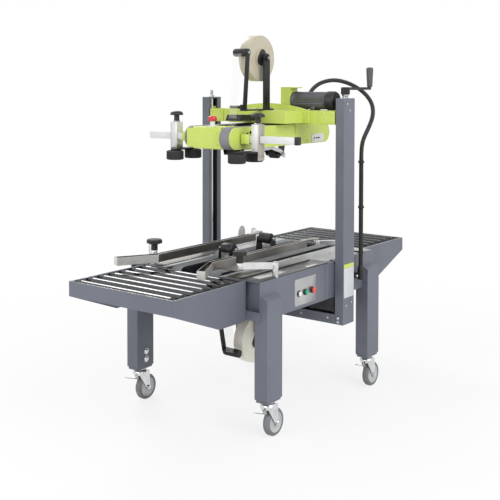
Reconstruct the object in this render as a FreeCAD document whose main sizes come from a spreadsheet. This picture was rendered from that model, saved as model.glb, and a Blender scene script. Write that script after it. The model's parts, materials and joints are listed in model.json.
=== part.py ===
import FreeCAD, Part
import math
import os
import re
import Sketcher
from FreeCAD import Rotation, Vector

# Carton sealer with belts above and below, a head that a hand crank lifts between two
# masts, and a roller table at each end. Lengths are in millimetres. X runs the way the
# cartons travel, Z is up, and the operator stands on the -Y side. The origin is on the
# floor under the middle of the bed.

SIZES = [
    ("sheet_gauge", 3, "folded sheet of covers and frames"),
    ("seat_gap", 0.3, "gap between pieces that lie beside each other"),
    ("shaft_gap", 0.05, "radial gap of a running shaft"),
    ("slide_gap", 0.5, "gap of a block that slides on a bar"),
    # Bed
    ("bed_half_length", 510, "half length of the bed"),
    ("bed_half_width", 388, "half width of the bed"),
    ("bed_top", 705, "height of the bed top"),
    ("bed_bottom", 530, "lower edge of the bed sides"),
    ("bed_border", 116, "width of the painted top flange"),
    ("bed_lip", 28, "width of the lower flange"),
    ("rail_centre", 280, "cross rails from the middle"),
    ("rail_width", 40, "width of a cross rail"),
    ("rail_low", 570, "underside of the cross rails"),
    ("rail_high", 600, "top of the cross rails"),
    # Belts
    ("belt_inner", 88, "inner edge of each belt from the middle"),
    ("belt_outer", 145, "outer edge of each belt"),
    ("belt_thick", 4, "thickness of a belt"),
    ("cheek", 3.7, "thickness of a belt unit's side plate"),
    ("low_belt_radius", 40, "end radius of a lower belt"),
    ("low_belt_rise", 7, "lower belt above the bed top"),
    ("low_belt_reach", 455, "lower pulley centres from the middle"),
    ("top_plate_inner", 165, "inner edge of the bed top plates"),
    ("plate_wide_start", 80, "start of the wide part of the near top plate"),
    ("plate_border", 22, "bed top beside the wide part"),
    ("plate_wide_edge", "=bed_half_width - plate_border", "outer edge of the wide part"),
    ("plate_wide_inner", 240, "inner edge of the wide part"),
    ("plate_lift", 2, "thickness of the wide part"),
    # Roller tables
    ("table_reach", 993, "far end of each table"),
    ("table_half_width", 308, "half width of a table"),
    ("table_top", 700, "top rim of the tables"),
    ("table_end_depth", 68, "depth of the end plate"),
    ("table_root_depth", 178, "depth of the side plates at the bed"),
    ("table_taper", 696, "where the side plates begin to taper"),
    ("table_gauge", 4, "plate of the table sides"),
    ("table_rim", 12, "width of the folded top rim"),
    ("roller_count", 7, "rollers on each table"),
    ("roller_inset", 18, "outermost roller inside the end plate"),
    ("roller_gap", 2.2, "innermost roller clear of the bed"),
    ("roller_radius", 19, "radius of a roller tube"),
    ("roller_half", 262, "half length of a roller tube"),
    ("roller_proud", 3, "roller above the rim"),
    ("axle_radius", 12, "radius of a roller's end bearing"),
    ("pan_drop", 60, "tray under the rollers below the rim"),
    # Legs and casters
    ("leg_centre_x", 444.5, "legs from the middle along X"),
    ("leg_width", 117, "width of a leg"),
    ("leg_proud", 34, "leg in front of the bed side"),
    ("leg_inset", 34, "leg behind the bed side"),
    ("leg_outer", "=bed_half_width + leg_proud", "outer face of a leg"),
    ("leg_inner", "=bed_half_width - leg_inset", "inner face of a leg"),
    ("leg_shoulder", 625, "top of a leg at its outer face"),
    ("leg_crest", 642, "top of a leg at the bed side"),
    ("leg_low", 176, "lower end of the leg's sleeve"),
    ("leg_round", 7, "rounding of the leg corners"),
    ("foot_inset", 5, "inner foot inside the sleeve"),
    ("foot_low", 166, "underside of the inner foot"),
    ("caster_plate", 3, "caster top plate"),
    ("caster_plate_half", 32, "half size of the caster top plate"),
    ("swivel_radius", 30, "radius of the swivel head"),
    ("swivel_thick", 12, "height of the swivel head"),
    ("caster_trail", 38, "axle behind the swivel axis"),
    ("wheel_radius", 62.5, "radius of a caster wheel"),
    ("wheel_half", 16, "half width of a caster tyre"),
    ("hub_half", 18, "half width of a caster hub"),
    ("hub_radius", 16, "radius of a caster hub"),
    ("fork_gauge", 3, "plate of the caster fork"),
    ("fork_half", 18.5, "inner face of the fork cheeks"),
    ("caster_axle", 6, "radius of the caster axle"),
    ("pedal_reach", 62, "brake pedal in front of the swivel axis"),
    ("pedal_gauge", 4, "thickness of the brake pedal"),
    ("fork_tip", 14, "half width of the fork at the axle"),
    ("axle_nut", 4, "axle outside the fork"),
    ("dish", 5, "depth of the wheel's dished sides"),
    ("tread_round", 7, "shoulder of the tread"),
    ("tyre", 15, "depth of the tyre"),
    # Masts and lifting screws
    ("mast_low_x", 109, "front face of the masts"),
    ("mast_high_x", 213, "rear face of the masts"),
    ("mast_gap", 7, "gap between the bed side and a mast"),
    ("mast_deep", 46, "depth of a mast"),
    ("mast_inner", "=bed_half_width + mast_gap", "inner face of the masts"),
    ("mast_outer", "=mast_inner + mast_deep", "outer face of the masts"),
    ("mast_bottom", 397, "lower end of the masts"),
    ("mast_top", 1503, "upper end of the masts"),
    ("mast_wall", 4, "wall of a mast"),
    ("mast_slot", 40, "width of the slot that the head's necks pass"),
    ("mast_cap", 6, "thickness of the mast caps"),
    ("channel_top", 445, "upper edge of the cross channel"),
    ("screw_x", 161, "lifting screws along X"),
    ("screw_y", "=mast_inner + mast_deep / 2", "lifting screws from the middle"),
    ("screw_radius", 9, "radius of a lifting screw"),
    ("far_screw_top", 1541, "top of the far screw"),
    ("screw_collar", 14, "radius of the collar on a mast cap"),
    ("collar_thick", 11, "height of the collar"),
    ("sprocket_gap", 0.5, "chain outside its sprocket"),
    ("chain_low", 416, "underside of the drive chain"),
    ("chain_high", 422, "top of the drive chain"),
    ("chain_radius", 16.5, "outer radius of the chain at a sprocket"),
    ("chain_thick", 5, "thickness of the chain"),
    ("gearbox_half", 50, "half width of the lower gearbox"),
    ("gearbox_deep", 145, "depth of the lower gearbox"),
    ("low_motor_radius", 36, "radius of the lower belt motor"),
    ("low_motor_long", 180, "length of the lower belt motor"),
    ("crank_reach", 241, "crank grip from the screw"),
    ("crank_low", 1544, "underside of the crank arm"),
    ("crank_thick", 14, "thickness of the crank arm"),
    ("crank_half_width", 10, "half width of the crank arm"),
    ("crank_hub", 20, "radius of the crank hub"),
    ("grip_low_radius", 14, "radius of the grip at the arm"),
    ("grip_high_radius", 18, "radius of the grip at its top"),
    ("grip_top", 1658, "top of the crank grip"),
    # Head
    ("unit_centre", 1320, "centre height of the upper belts"),
    ("unit_radius", 52, "end radius of the upper belts"),
    ("unit_nose", -368, "front pulley centre of the near upper belt"),
    ("cover_set_back", 30, "far upper belt behind the nose cover"),
    ("unit_tail", 404, "rear pulley centre"),
    ("beam_low_x", 115, "front face of the crossbeam"),
    ("beam_high_x", 205, "rear face of the crossbeam"),
    ("beam_gap", 7, "gap between the crossbeam and a mast"),
    ("beam_half", "=mast_inner - beam_gap", "half length of the crossbeam"),
    ("beam_low", 1375, "underside of the crossbeam"),
    ("beam_high", 1443, "top of the crossbeam"),
    ("beam_cap", 4, "end plates of the crossbeam"),
    ("neck_half", 15, "half width of the necks in the mast slots"),
    ("nut_half_x", 23, "half width of a lifting nut along X"),
    ("nut_half_y", 13.5, "half width of a lifting nut along Y"),
    ("nut_overhang", 10, "nut above and below the crossbeam"),
    ("hanger_low", 1325, "lower end of the hanger plates"),
    ("hanger_half", 34, "half width of the hanger plates"),
    ("arch_gauge", 16, "depth of the arched cover"),
    ("arch_half", 245, "half length of the arched cover"),
    ("arch_rise", 33, "rise of the arch"),
    ("box_front", -50, "front face of the top box"),
    ("box_near", -207, "near face of the top box"),
    ("box_far", 140, "far face of the top box"),
    ("box_break", -50, "where the top box begins to slope"),
    ("box_low", 1380, "underside of the top box"),
    ("box_far_top", 1388, "top of the box at its far face"),
    ("nose_front", -400, "front face of the nose cover"),
    ("nose_back", -255, "rear edge of the nose cover"),
    ("nose_low", 1268, "lower edge of the nose cover"),
    ("nose_high", 1372, "top of the nose cover"),
    ("nose_lip", 25, "lower lip of the nose cover"),
    ("nose_round", 7, "bend radius of the nose cover"),
    ("nose_far", 122, "far edge of the nose cover"),
    ("stop_x", -376, "emergency stop along X"),
    ("stop_y", -15, "emergency stop along Y"),
    ("stop_base", 12, "radius of the stop's collar"),
    ("stop_neck", 28, "height of the stop's collar"),
    ("stop_cap", 22, "radius of the stop's button"),
    ("stop_top", 1424, "top of the stop's button"),
    # Motor on the head
    ("motor_z", 1491, "motor axis height"),
    ("motor_radius", 46, "radius of the motor"),
    ("motor_near", -298, "motor body ends at the fan cover"),
    ("motor_far", -123, "motor body starts at its bracket"),
    ("fan_radius", 47, "radius of the fan cover"),
    ("fan_end", -372, "end of the fan cover"),
    ("bracket_far", -66, "far face of the motor bracket"),
    ("bracket_top", 1558, "top of the motor bracket"),
    ("bracket_flange", -152, "end of the bracket's top flange"),
    ("terminal_near", -160, "near face of the terminal box"),
    ("terminal_far", -100, "far face of the terminal box"),
    ("terminal_reach", 110, "rear face of the terminal box behind the motor axis"),
    ("terminal_drop", 42, "underside of the terminal box below the motor axis"),
    ("end_plate", 4, "thickness of the beam's end brackets"),
    ("end_plate_reach", 88, "length of the beam's end brackets"),
    # Squeezers on the head
    ("bar_low_x", -335, "front face of the squeezer bars"),
    ("bar_high_x", -308, "rear face of the squeezer bars"),
    ("bar_low", 1302, "underside of the squeezer bars"),
    ("bar_high", 1335, "top of the squeezer bars"),
    ("near_bar_end", 465, "end of the near bar from the middle"),
    ("far_bar_end", 420, "end of the far bar from the middle"),
    ("bar_cap", 15, "black cap on a bar"),
    ("socket_end", 204, "outer end of the bar sockets"),
    ("socket_wall", 6, "wall of a bar socket"),
    ("mount_front", -326, "front edge of the bar's mounting plate"),
    ("mount_back", -250, "rear edge of the bar's mounting plate"),
    ("mount_low", 1285, "lower edge of the bar's mounting plate"),
    ("mount_high", 1362, "upper edge of the bar's mounting plate"),
    ("block_wall", 10, "wall of a squeezer block"),
    ("block_width", 41, "width of a squeezer block"),
    ("near_block", 240, "near block from the middle"),
    ("far_block", 254, "far block from the middle"),
    ("block_low", 1262, "underside of a squeezer block"),
    ("block_high", 1388, "top of a squeezer block"),
    ("block_tail", 1221, "lower end of the block's outer plate"),
    ("arm_gauge", 8, "thickness of the wheel arm"),
    ("arm_tip", 14, "half width of the wheel arm at its ends"),
    ("tail_gauge", 5, "thickness of the block's outer plate"),
    ("press_radius", 42, "radius of a squeezer wheel"),
    ("press_low", 1209, "underside of the squeezer wheels"),
    ("press_high", 1253, "top of the squeezer wheels"),
    ("press_forward", 14, "wheel pair in front of the block"),
    ("press_inward", 60, "wheel pair inside the block"),
    ("press_spread", 68, "wheels from the pair's centre along X"),
    ("press_lobes", 3, "depth of the grooves round a squeezer wheel"),
    ("knob_stem", 15, "radius of a knob's stem"),
    ("knob_cap", 32, "radius of a knob's cap"),
    ("knob_thick", 20, "height of a knob's cap"),
    ("knob_height", 53, "height of a knob"),
    ("lobe_circle", 20, "lobes of a star knob from its middle"),
    ("lobe_radius", 9, "radius of a lobe"),
    # Tape heads
    ("tape_plate_inner", 41, "inner face of the tape head plates"),
    ("tape_plate_outer", 45, "outer face of the tape head plates"),
    ("tape_half", 25, "half width of a tape roller"),
    ("roll_radius", 115, "outer radius of a tape roll"),
    ("core_radius", 38, "radius of a tape roll's core"),
    ("roll_half", 27, "half width of a tape roll"),
    ("hub_flange", 49, "radius of the roll hub's flange"),
    ("spindle", 8, "radius of the roll's spindle"),
    ("top_roll_x", 0, "upper roll along X"),
    ("top_roll_z", 1702, "upper roll height"),
    ("low_roll_x", -40, "lower roll along X"),
    ("low_roll_z", 290, "lower roll height"),
    ("roll_arm_half", 24, "half width of the roll arms"),
    ("roll_arm_inner", 55, "inner face of the upper roll arm"),
    ("roll_arm_gauge", 10, "thickness of the roll arms"),
    ("guide_radius", 18, "radius of the film guide cylinders"),
    ("guide_reach", 30, "far end of the upper film guide cylinder"),
    ("lean_gauge", 8, "thickness of the film guide arms"),
    ("lean_half", 13, "half width of the film guide arms"),
    ("lean_foot_x", -168, "foot of the upper film guide arm"),
    ("film_x", -142, "upper film guide along X"),
    ("film_z", 1728, "upper film guide height"),
    ("base_front", -200, "front end of the roll arms' base"),
    ("base_gauge", 7, "thickness of the roll arms' base"),
    ("low_film_x", -200, "lower film guide along X"),
    ("low_film_z", 256, "lower film guide height"),
    ("low_lean_x", -232, "head of the lower film guide arm"),
    ("low_lean_bend", 400, "bend of the lower film guide arm"),
    ("tie_radius", 8, "radius of the spacers between the tape head plates"),
    ("ear_slope", 12, "slope beside the ears that carry a roller"),
    ("high_front_x", -192, "upper head's front roller along X"),
    ("high_front_z", 1240, "upper head's front roller height"),
    ("high_rear_x", 160, "upper head's rear roller along X"),
    ("high_rear_z", 1217, "upper head's rear roller height"),
    ("high_roller", 22, "radius of the upper head's rollers"),
    ("low_front_x", -230, "lower head's front roller along X"),
    ("low_front_z", 770, "lower head's front roller height"),
    ("low_front_roller", 31, "radius of the lower head's front roller"),
    ("low_rear_x", 85, "lower head's rear roller along X"),
    ("low_rear_z", 783, "lower head's rear roller height"),
    ("low_rear_roller", 24, "radius of the lower head's rear roller"),
    ("head_margin", 36, "tape head plates beyond the outer rollers"),
    ("low_head_top", 697, "upper edge of the lower head's plates"),
    # Side guides
    ("guide_low", 740, "underside of the guide rails"),
    ("guide_high", 777, "top of the guide rails"),
    ("guide_inner", 148, "inner face of the guide rails"),
    ("guide_outer", 175, "outer face of the guide rails"),
    ("guide_corner", -575, "where the guide rails flare"),
    ("guide_rear", 200, "rear end of the guide rails"),
    ("rail_wall", 3, "wall of the guide rails"),
    ("flare_tip_x", -760, "tip of the flare along X"),
    ("flare_tip_y", 236, "inner corner of the flare's tip"),
    ("flare_width", 34, "width of the flare's tip"),
    ("knob_x", -484, "front guide pivot along X"),
    ("knob_y", 257, "front guide pivot from the middle"),
    ("post_x", -375, "front post along X"),
    ("post_inset", 13, "front post from the edge of the bed"),
    ("post_y", "=bed_half_width - post_inset", "front post from the middle"),
    ("link_low", 744, "underside of the front arm"),
    ("link_high", 772, "top of the front arm"),
    ("link_half", 10, "half width of the front arm"),
    ("link_eye", 15, "radius of the front arm's eyes"),
    ("rear_post_x", 390, "rear post along X"),
    ("rear_post_y", 300, "rear post from the middle"),
    ("lug_thick", 5, "thickness of the rail's rear tongue"),
    ("rear_link_high", 764, "top of the rear arm"),
    ("post_radius", 14, "radius of the guide posts"),
    ("pin_radius", 6, "radius of the guide pins"),
    ("plate_wide", 35, "half width of the pivot plate"),
    # Controls and cable
    ("panel_low_x", -238, "left edge of the control plate"),
    ("panel_high_x", -55, "right edge of the control plate"),
    ("panel_low", 546, "lower edge of the control plate"),
    ("panel_high", 671, "upper edge of the control plate"),
    ("button_z", 602, "height of the buttons"),
    ("button_radius", 15, "radius of a button"),
    ("riser_x", 308, "cable riser along X"),
    ("riser_reach", 37, "cable riser beside the bed side"),
    ("riser_y", "=-bed_half_width - riser_reach", "cable riser along Y"),
    ("riser_radius", 11, "radius of the cable riser"),
    ("riser_low", 590, "lower end of the cable riser"),
    ("riser_high", 1195, "upper end of the cable riser"),
    ("boot_radius", 16, "radius of the riser's boot"),
    ("boot_high", 655, "top of the riser's boot"),
]

doc = FreeCAD.newDocument("carton_sealer")
sheet = doc.addObject("Spreadsheet::Sheet", "Sizes")
for row, (alias, number, note) in enumerate(SIZES, start=1):
    sheet.set(f"A{row}", note)
    sheet.set(f"B{row}", str(number))
    sheet.setAlias(f"B{row}", alias)
doc.recompute()
ALIASES = {alias for alias, _, _ in SIZES}
ALONG = {
    "x": Rotation(Vector(0, 1, 0), 90),
    "y": Rotation(Vector(1, 0, 0), -90),
    "z": Rotation(),
}
PLANES = {"xy": "XY_Plane", "xz": "XZ_Plane", "yz": "YZ_Plane"}


def size(alias):
    """The number in the sheet under this alias."""
    return float(sheet.get(alias))


def bind(item, prop, formula):
    """Bind a property to a formula in which sheet aliases stand as plain words."""
    words = re.sub(
        r"[a-z][a-z_]+",
        lambda found: f"Sizes.{found.group()}" if found.group() in ALIASES else found.group(),
        str(formula),
    )
    item.setExpression(prop, words)


def place(item, x, y, z):
    """Bind the three coordinates of an item's position."""
    for axis, formula in zip("xyz", (x, y, z)):
        bind(item, f"Placement.Base.{axis}", formula)
    return item


def block(name, x, y, z):
    """A block between two X, two Y and two Z formulas."""
    item = doc.addObject("Part::Box", name)
    for prop, (low, high) in zip(("Length", "Width", "Height"), (x, y, z)):
        bind(item, prop, f"({high}) - ({low})")
    return place(item, x[0], y[0], z[0])


def rod(name, along, x, y, z, radius):
    """A cylinder along one axis; the coordinate along that axis is a pair of formulas."""
    item = doc.addObject("Part::Cylinder", name)
    item.Placement = FreeCAD.Placement(Vector(), ALONG[along])
    spots = {"x": x, "y": y, "z": z}
    low, high = spots[along]
    spots[along] = low
    bind(item, "Radius", radius)
    bind(item, "Height", f"({high}) - ({low})")
    return place(item, spots["x"], spots["y"], spots["z"])


def draw(body, name, plane, corners):
    """A closed outline of straight lines whose corners are bound to formulas."""
    sketch = body.newObject("Sketcher::SketchObject", name)
    support = [item for item in body.Origin.OriginFeatures if item.Role == PLANES[plane]]
    sketch.AttachmentSupport = [(support[0], "")]
    sketch.MapMode = "FlatFace"
    count = len(corners)
    spots = [
        Vector(math.cos(2 * math.pi * n / count), math.sin(2 * math.pi * n / count), 0)
        for n in range(count)
    ]
    for n in range(count):
        sketch.addGeometry(Part.LineSegment(spots[n], spots[(n + 1) % count]), False)
    for n in range(count):
        sketch.addConstraint(Sketcher.Constraint("Coincident", n, 2, (n + 1) % count, 1))
    for n, formulas in enumerate(corners):
        for kind, start, formula in zip(("DistanceX", "DistanceY"), spots[n], formulas):
            index = sketch.addConstraint(Sketcher.Constraint(kind, -1, 1, n, 1, start))
            bind(sketch, f"Constraints[{index}]", formula)
    return sketch


def profile(name, plane, corners, span):
    """A body padded from an outline between two formulas along the plane's normal."""
    body = doc.addObject("PartDesign::Body", name)
    pad = body.newObject("PartDesign::Pad", f"{name}_pad")
    pad.Profile = draw(body, f"{name}_outline", plane, corners)
    bind(pad, "Length", f"({span[1]}) - ({span[0]})")
    pad.Reversed = plane == "xz"
    body.Tip = pad
    normal = {"xy": "z", "xz": "y", "yz": "x"}[plane]
    bind(body, f"Placement.Base.{normal}", span[0])
    return body


def turned(name, corners, along, x, y, z):
    """A body of revolution; the corners are pairs of radius and height."""
    body = doc.addObject("PartDesign::Body", name)
    sketch = draw(body, f"{name}_outline", "xz", corners)
    turn = body.newObject("PartDesign::Revolution", f"{name}_turn")
    turn.Profile = sketch
    turn.ReferenceAxis = (sketch, ["V_Axis"])
    turn.Angle = 360
    body.Tip = turn
    body.Placement = FreeCAD.Placement(Vector(), ALONG[along])
    return place(body, x, y, z)


def soften(body, radius, wanted):
    """Round the edges of a body's tip for which the test is true."""
    doc.recompute()
    base = body.Tip
    names = [f"Edge{n}" for n, edge in enumerate(base.Shape.Edges, start=1) if wanted(edge)]
    fillet = body.newObject("PartDesign::Fillet", f"{body.Name}_round")
    fillet.Base = (base, names)
    bind(fillet, "Radius", radius)
    body.Tip = fillet
    return body


def runs(edge, direction):
    """Whether a straight edge runs along a direction."""
    if not isinstance(edge.Curve, Part.Line):
        return False
    return edge.Curve.Direction.cross(direction).Length < 1e-6


def joined(name, *items):
    """Several pieces fused into one."""
    item = doc.addObject("Part::MultiFuse", name)
    item.Shapes = list(items)
    item.Refine = True
    return item


def together(name, *items):
    """Several solids that don't touch, kept as one sub-part."""
    item = doc.addObject("Part::Compound", name)
    item.Links = list(items)
    return item


def cut(name, base, tool):
    """A piece with another piece's form cut out of it."""
    item = doc.addObject("Part::Cut", name)
    item.Base = base
    item.Tool = tool
    item.Refine = True
    return item


def shared(name, first, second):
    """The form that two pieces have in common."""
    item = doc.addObject("Part::Common", name)
    item.Base = first
    item.Tool = second
    return item


def mirror(name, item, normal):
    """A piece mirrored through the origin across one plane."""
    copy = doc.addObject("Part::Mirroring", name)
    copy.Source = item
    copy.Base = Vector()
    copy.Normal = normal
    return copy


ACROSS_X = Vector(1, 0, 0)
ACROSS_Y = Vector(0, 1, 0)


def stadium(name, ends, centre, radius, y):
    """A bar with round ends, seen from the side: two X centres, a height and a Y span."""
    return joined(
        name,
        block(f"{name}_run", ends, y, (f"{centre} - ({radius})", f"{centre} + {radius}")),
        rod(f"{name}_nose", "y", ends[0], y, centre, radius),
        rod(f"{name}_tail", "y", ends[1], y, centre, radius),
    )


# Bed

def bed_frame():
    """Two folded side plates, two end plates and two cross rails."""
    top = "bed_top - sheet_gauge"
    outer = "-bed_half_width"
    web = "-bed_half_width + sheet_gauge"
    side = profile(
        "near_side_plate",
        "yz",
        [
            (outer, "bed_bottom"),
            ("-bed_half_width + bed_lip", "bed_bottom"),
            ("-bed_half_width + bed_lip", "bed_bottom + sheet_gauge"),
            (web, "bed_bottom + sheet_gauge"),
            (web, top),
            ("-bed_half_width + bed_border", top),
            ("-bed_half_width + bed_border", "bed_top"),
            (outer, "bed_top"),
        ],
        ("-bed_half_length", "bed_half_length"),
    )
    width = (web, f"-({web})")
    mouth = "belt_outer + 5"
    shoulder = "(table_half_width + seat_gap)"
    end = profile(
        "infeed_end_plate",
        "yz",
        [
            (web, "bed_bottom"),
            (f"-({web})", "bed_bottom"),
            (f"-({web})", "rail_low"),
            (shoulder, "rail_low"),
            (shoulder, top),
            (mouth, top),
            (mouth, "rail_high"),
            (f"-({mouth})", "rail_high"),
            (f"-({mouth})", top),
            (f"-{shoulder}", top),
            (f"-{shoulder}", "rail_low"),
            (web, "rail_low"),
        ],
        ("-bed_half_length", "-bed_half_length + sheet_gauge"),
    )
    spacer = block(
        "mast_spacer",
        ("mast_low_x + 6", "mast_high_x - 6"),
        ("-mast_inner", outer),
        ("bed_bottom + 15", "bed_top - 15"),
    )
    rail = block(
        "front_cross_rail",
        ("-rail_centre - rail_width / 2", "-rail_centre + rail_width / 2"),
        width,
        ("rail_low", "rail_high"),
    )
    return joined(
        "bed_frame",
        side,
        mirror("far_side_plate", side, ACROSS_Y),
        end,
        mirror("outfeed_end_plate", end, ACROSS_X),
        rail,
        mirror("rear_cross_rail", rail, ACROSS_X),
        spacer,
        mirror("far_mast_spacer", spacer, ACROSS_Y),
    )


def bed_top_plates():
    """The pale plates beside the belts, wider towards the outfeed."""
    step = "-bed_half_width + bed_border + seat_gap"
    level = ("bed_top - sheet_gauge", "bed_top")
    narrow = block(
        "near_narrow_plate",
        ("-bed_half_length", "bed_half_length"),
        (step, "-top_plate_inner"),
        level,
    )
    wide = block(
        "near_wide_plate",
        ("plate_wide_start", "bed_half_length"),
        ("-plate_wide_edge", "-plate_wide_inner"),
        ("bed_top", "bed_top + plate_lift"),
    )
    near = joined("near_top_plate", narrow, wide)
    return together("bed_top_plates", near, mirror("far_top_plate", near, ACROSS_Y))


def belt_ring(name, ends, centre, radius):
    """One belt as a closed loop round its two pulleys, on the far side."""
    span = ("belt_inner", "belt_outer")
    outer = stadium(f"{name}_outside", ends, centre, radius, span)
    inner = stadium(f"{name}_inside", ends, centre, f"({radius} - belt_thick)", span)
    return cut(name, outer, inner)


def bottom_belts():
    """The two lower belts."""
    far = belt_ring("low_far_belt", LOW_ENDS, LOW_CENTRE, "low_belt_radius")
    return together("bottom_belts", far, mirror("low_near_belt", far, ACROSS_Y))


def top_belts():
    """The two upper belts, the far one set back behind the nose cover."""
    near = belt_ring("high_near_belt", UNIT_ENDS, "unit_centre", "unit_radius")
    far = belt_ring("high_far_belt", FAR_ENDS, "unit_centre", "unit_radius")
    return together("top_belts", far, mirror("high_near_side", near, ACROSS_Y))


UNIT_ENDS = ("unit_nose", "unit_tail")
FAR_ENDS = ("(unit_nose + cover_set_back)", "unit_tail")
LOW_ENDS = ("-low_belt_reach", "low_belt_reach")
LOW_CENTRE = "(bed_top + low_belt_rise - low_belt_radius)"


def bottom_belt_frames():
    """Cores and side plates that carry the lower belts on the cross rails."""
    core = stadium(
        "low_core",
        LOW_ENDS,
        LOW_CENTRE,
        "(low_belt_radius - belt_thick - seat_gap)",
        ("belt_inner - seat_gap", "belt_outer + seat_gap"),
    )
    level = ("rail_high", "bed_top - 2")
    inner = block(
        "low_inner_cheek",
        LOW_ENDS,
        ("belt_inner - seat_gap - cheek", "belt_inner - seat_gap"),
        level,
    )
    outer = block(
        "low_outer_cheek",
        LOW_ENDS,
        ("belt_outer + seat_gap", "belt_outer + seat_gap + cheek"),
        level,
    )
    far = joined("far_belt_frame", core, inner, outer)
    return together("bottom_belt_frames", far, mirror("near_belt_frame", far, ACROSS_Y))


# Roller tables

def infeed_table_frame():
    """Tapered side plates with a folded rim, and an end plate."""
    root = "-bed_half_length"
    side = profile(
        "table_side",
        "xz",
        [
            ("-table_reach", "table_top"),
            (root, "table_top"),
            (root, "table_top - table_root_depth"),
            ("-table_taper", "table_top - table_root_depth"),
            ("-table_reach", "table_top - table_end_depth"),
        ],
        ("-table_half_width", "-table_half_width + table_gauge"),
    )
    rim = block(
        "table_rim_strip",
        ("-table_reach", root),
        ("-table_half_width", "-table_half_width + table_rim"),
        ("table_top - sheet_gauge", "table_top"),
    )
    end = block(
        "table_end",
        ("-table_reach", "-table_reach + table_gauge"),
        ("-table_half_width", "table_half_width"),
        ("table_top - table_end_depth", "table_top"),
    )
    tie = block(
        "table_tie",
        (f"{root} - table_gauge", root),
        ("-table_half_width", "table_half_width"),
        ("table_top - table_root_depth", "bed_top - low_belt_radius * 2 - 25"),
    )
    pan = block(
        "table_pan",
        ("-table_reach + table_gauge", root),
        ("-table_half_width + table_gauge", "table_half_width - table_gauge"),
        ("table_top - pan_drop - sheet_gauge", "table_top - pan_drop"),
    )
    near = joined("table_near_side", side, rim)
    far = mirror("table_far_side", near, ACROSS_Y)
    return joined("infeed_table_frame", near, far, end, tie, pan)


def infeed_rollers():
    """A row of rollers between the end plate and the bed, with their end bearings."""
    level = "table_top + roller_proud - roller_radius"
    first = "(table_reach - roller_inset - roller_radius)"
    bed_end = "max(bed_half_length; low_belt_reach + low_belt_radius)"
    last = f"({bed_end} + roller_gap + roller_radius)"
    reach = "table_half_width - table_gauge"
    rollers = []
    for n in range(int(size("roller_count"))):
        station = f"-{first} + ({first} - {last}) * {n} / (roller_count - 1)"
        rollers.append(turned(
            f"roller_{n + 1}",
            [
                ("0", f"-({reach})"),
                ("axle_radius", f"-({reach})"),
                ("axle_radius", "-roller_half"),
                ("roller_radius", "-roller_half"),
                ("roller_radius", "roller_half"),
                ("axle_radius", "roller_half"),
                ("axle_radius", reach),
                ("0", reach),
            ],
            "y",
            station,
            "0",
            level,
        ))
    return together("infeed_rollers", *rollers)


# Legs and casters

def legs():
    """Four sleeves with a sloping shoulder outside the bed, each with its inner foot."""
    outer = "-leg_outer"
    face = "-bed_half_width"
    inner = "-leg_inner"
    span = ("-leg_centre_x - leg_width / 2", "-leg_centre_x + leg_width / 2")
    sleeve = profile(
        "leg_sleeve",
        "yz",
        [
            (outer, "leg_low"),
            (inner, "leg_low"),
            (inner, "bed_bottom"),
            (face, "bed_bottom"),
            (face, "leg_crest"),
            (outer, "leg_shoulder"),
        ],
        span,
    )
    low = size("leg_low")
    soften(sleeve, "leg_round", lambda edge: edge.BoundBox.ZMax < low + 1 and (
        runs(edge, ACROSS_Y)))
    foot = block(
        "leg_foot",
        (f"{span[0]} + foot_inset", f"{span[1]} - foot_inset"),
        (f"{outer} + foot_inset", f"{inner} - foot_inset"),
        ("foot_low", "leg_low + 1"),
    )
    first = joined("near_infeed_leg", sleeve, foot)
    second = mirror("near_outfeed_leg", first, ACROSS_X)
    pair = together("near_legs", first, second)
    return together("legs", pair, mirror("far_legs", pair, ACROSS_Y))


CASTERS = [
    ("near_infeed", "-leg_centre_x", "-bed_half_width"),
    ("far_infeed", "-leg_centre_x", "bed_half_width"),
    ("near_outfeed", "leg_centre_x", "-bed_half_width"),
    ("far_outfeed", "leg_centre_x", "bed_half_width"),
]


def caster_plates():
    """Top plates of the four casters under the feet."""
    plates = [
        block(
            f"{where}_caster_plate",
            (f"{x} - caster_plate_half", f"{x} + caster_plate_half"),
            (f"{y} - caster_plate_half + 6", f"{y} + caster_plate_half - 6"),
            ("foot_low - caster_plate", "foot_low"),
        )
        for where, x, y in CASTERS
    ]
    return together("caster_plates", *plates)


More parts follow.
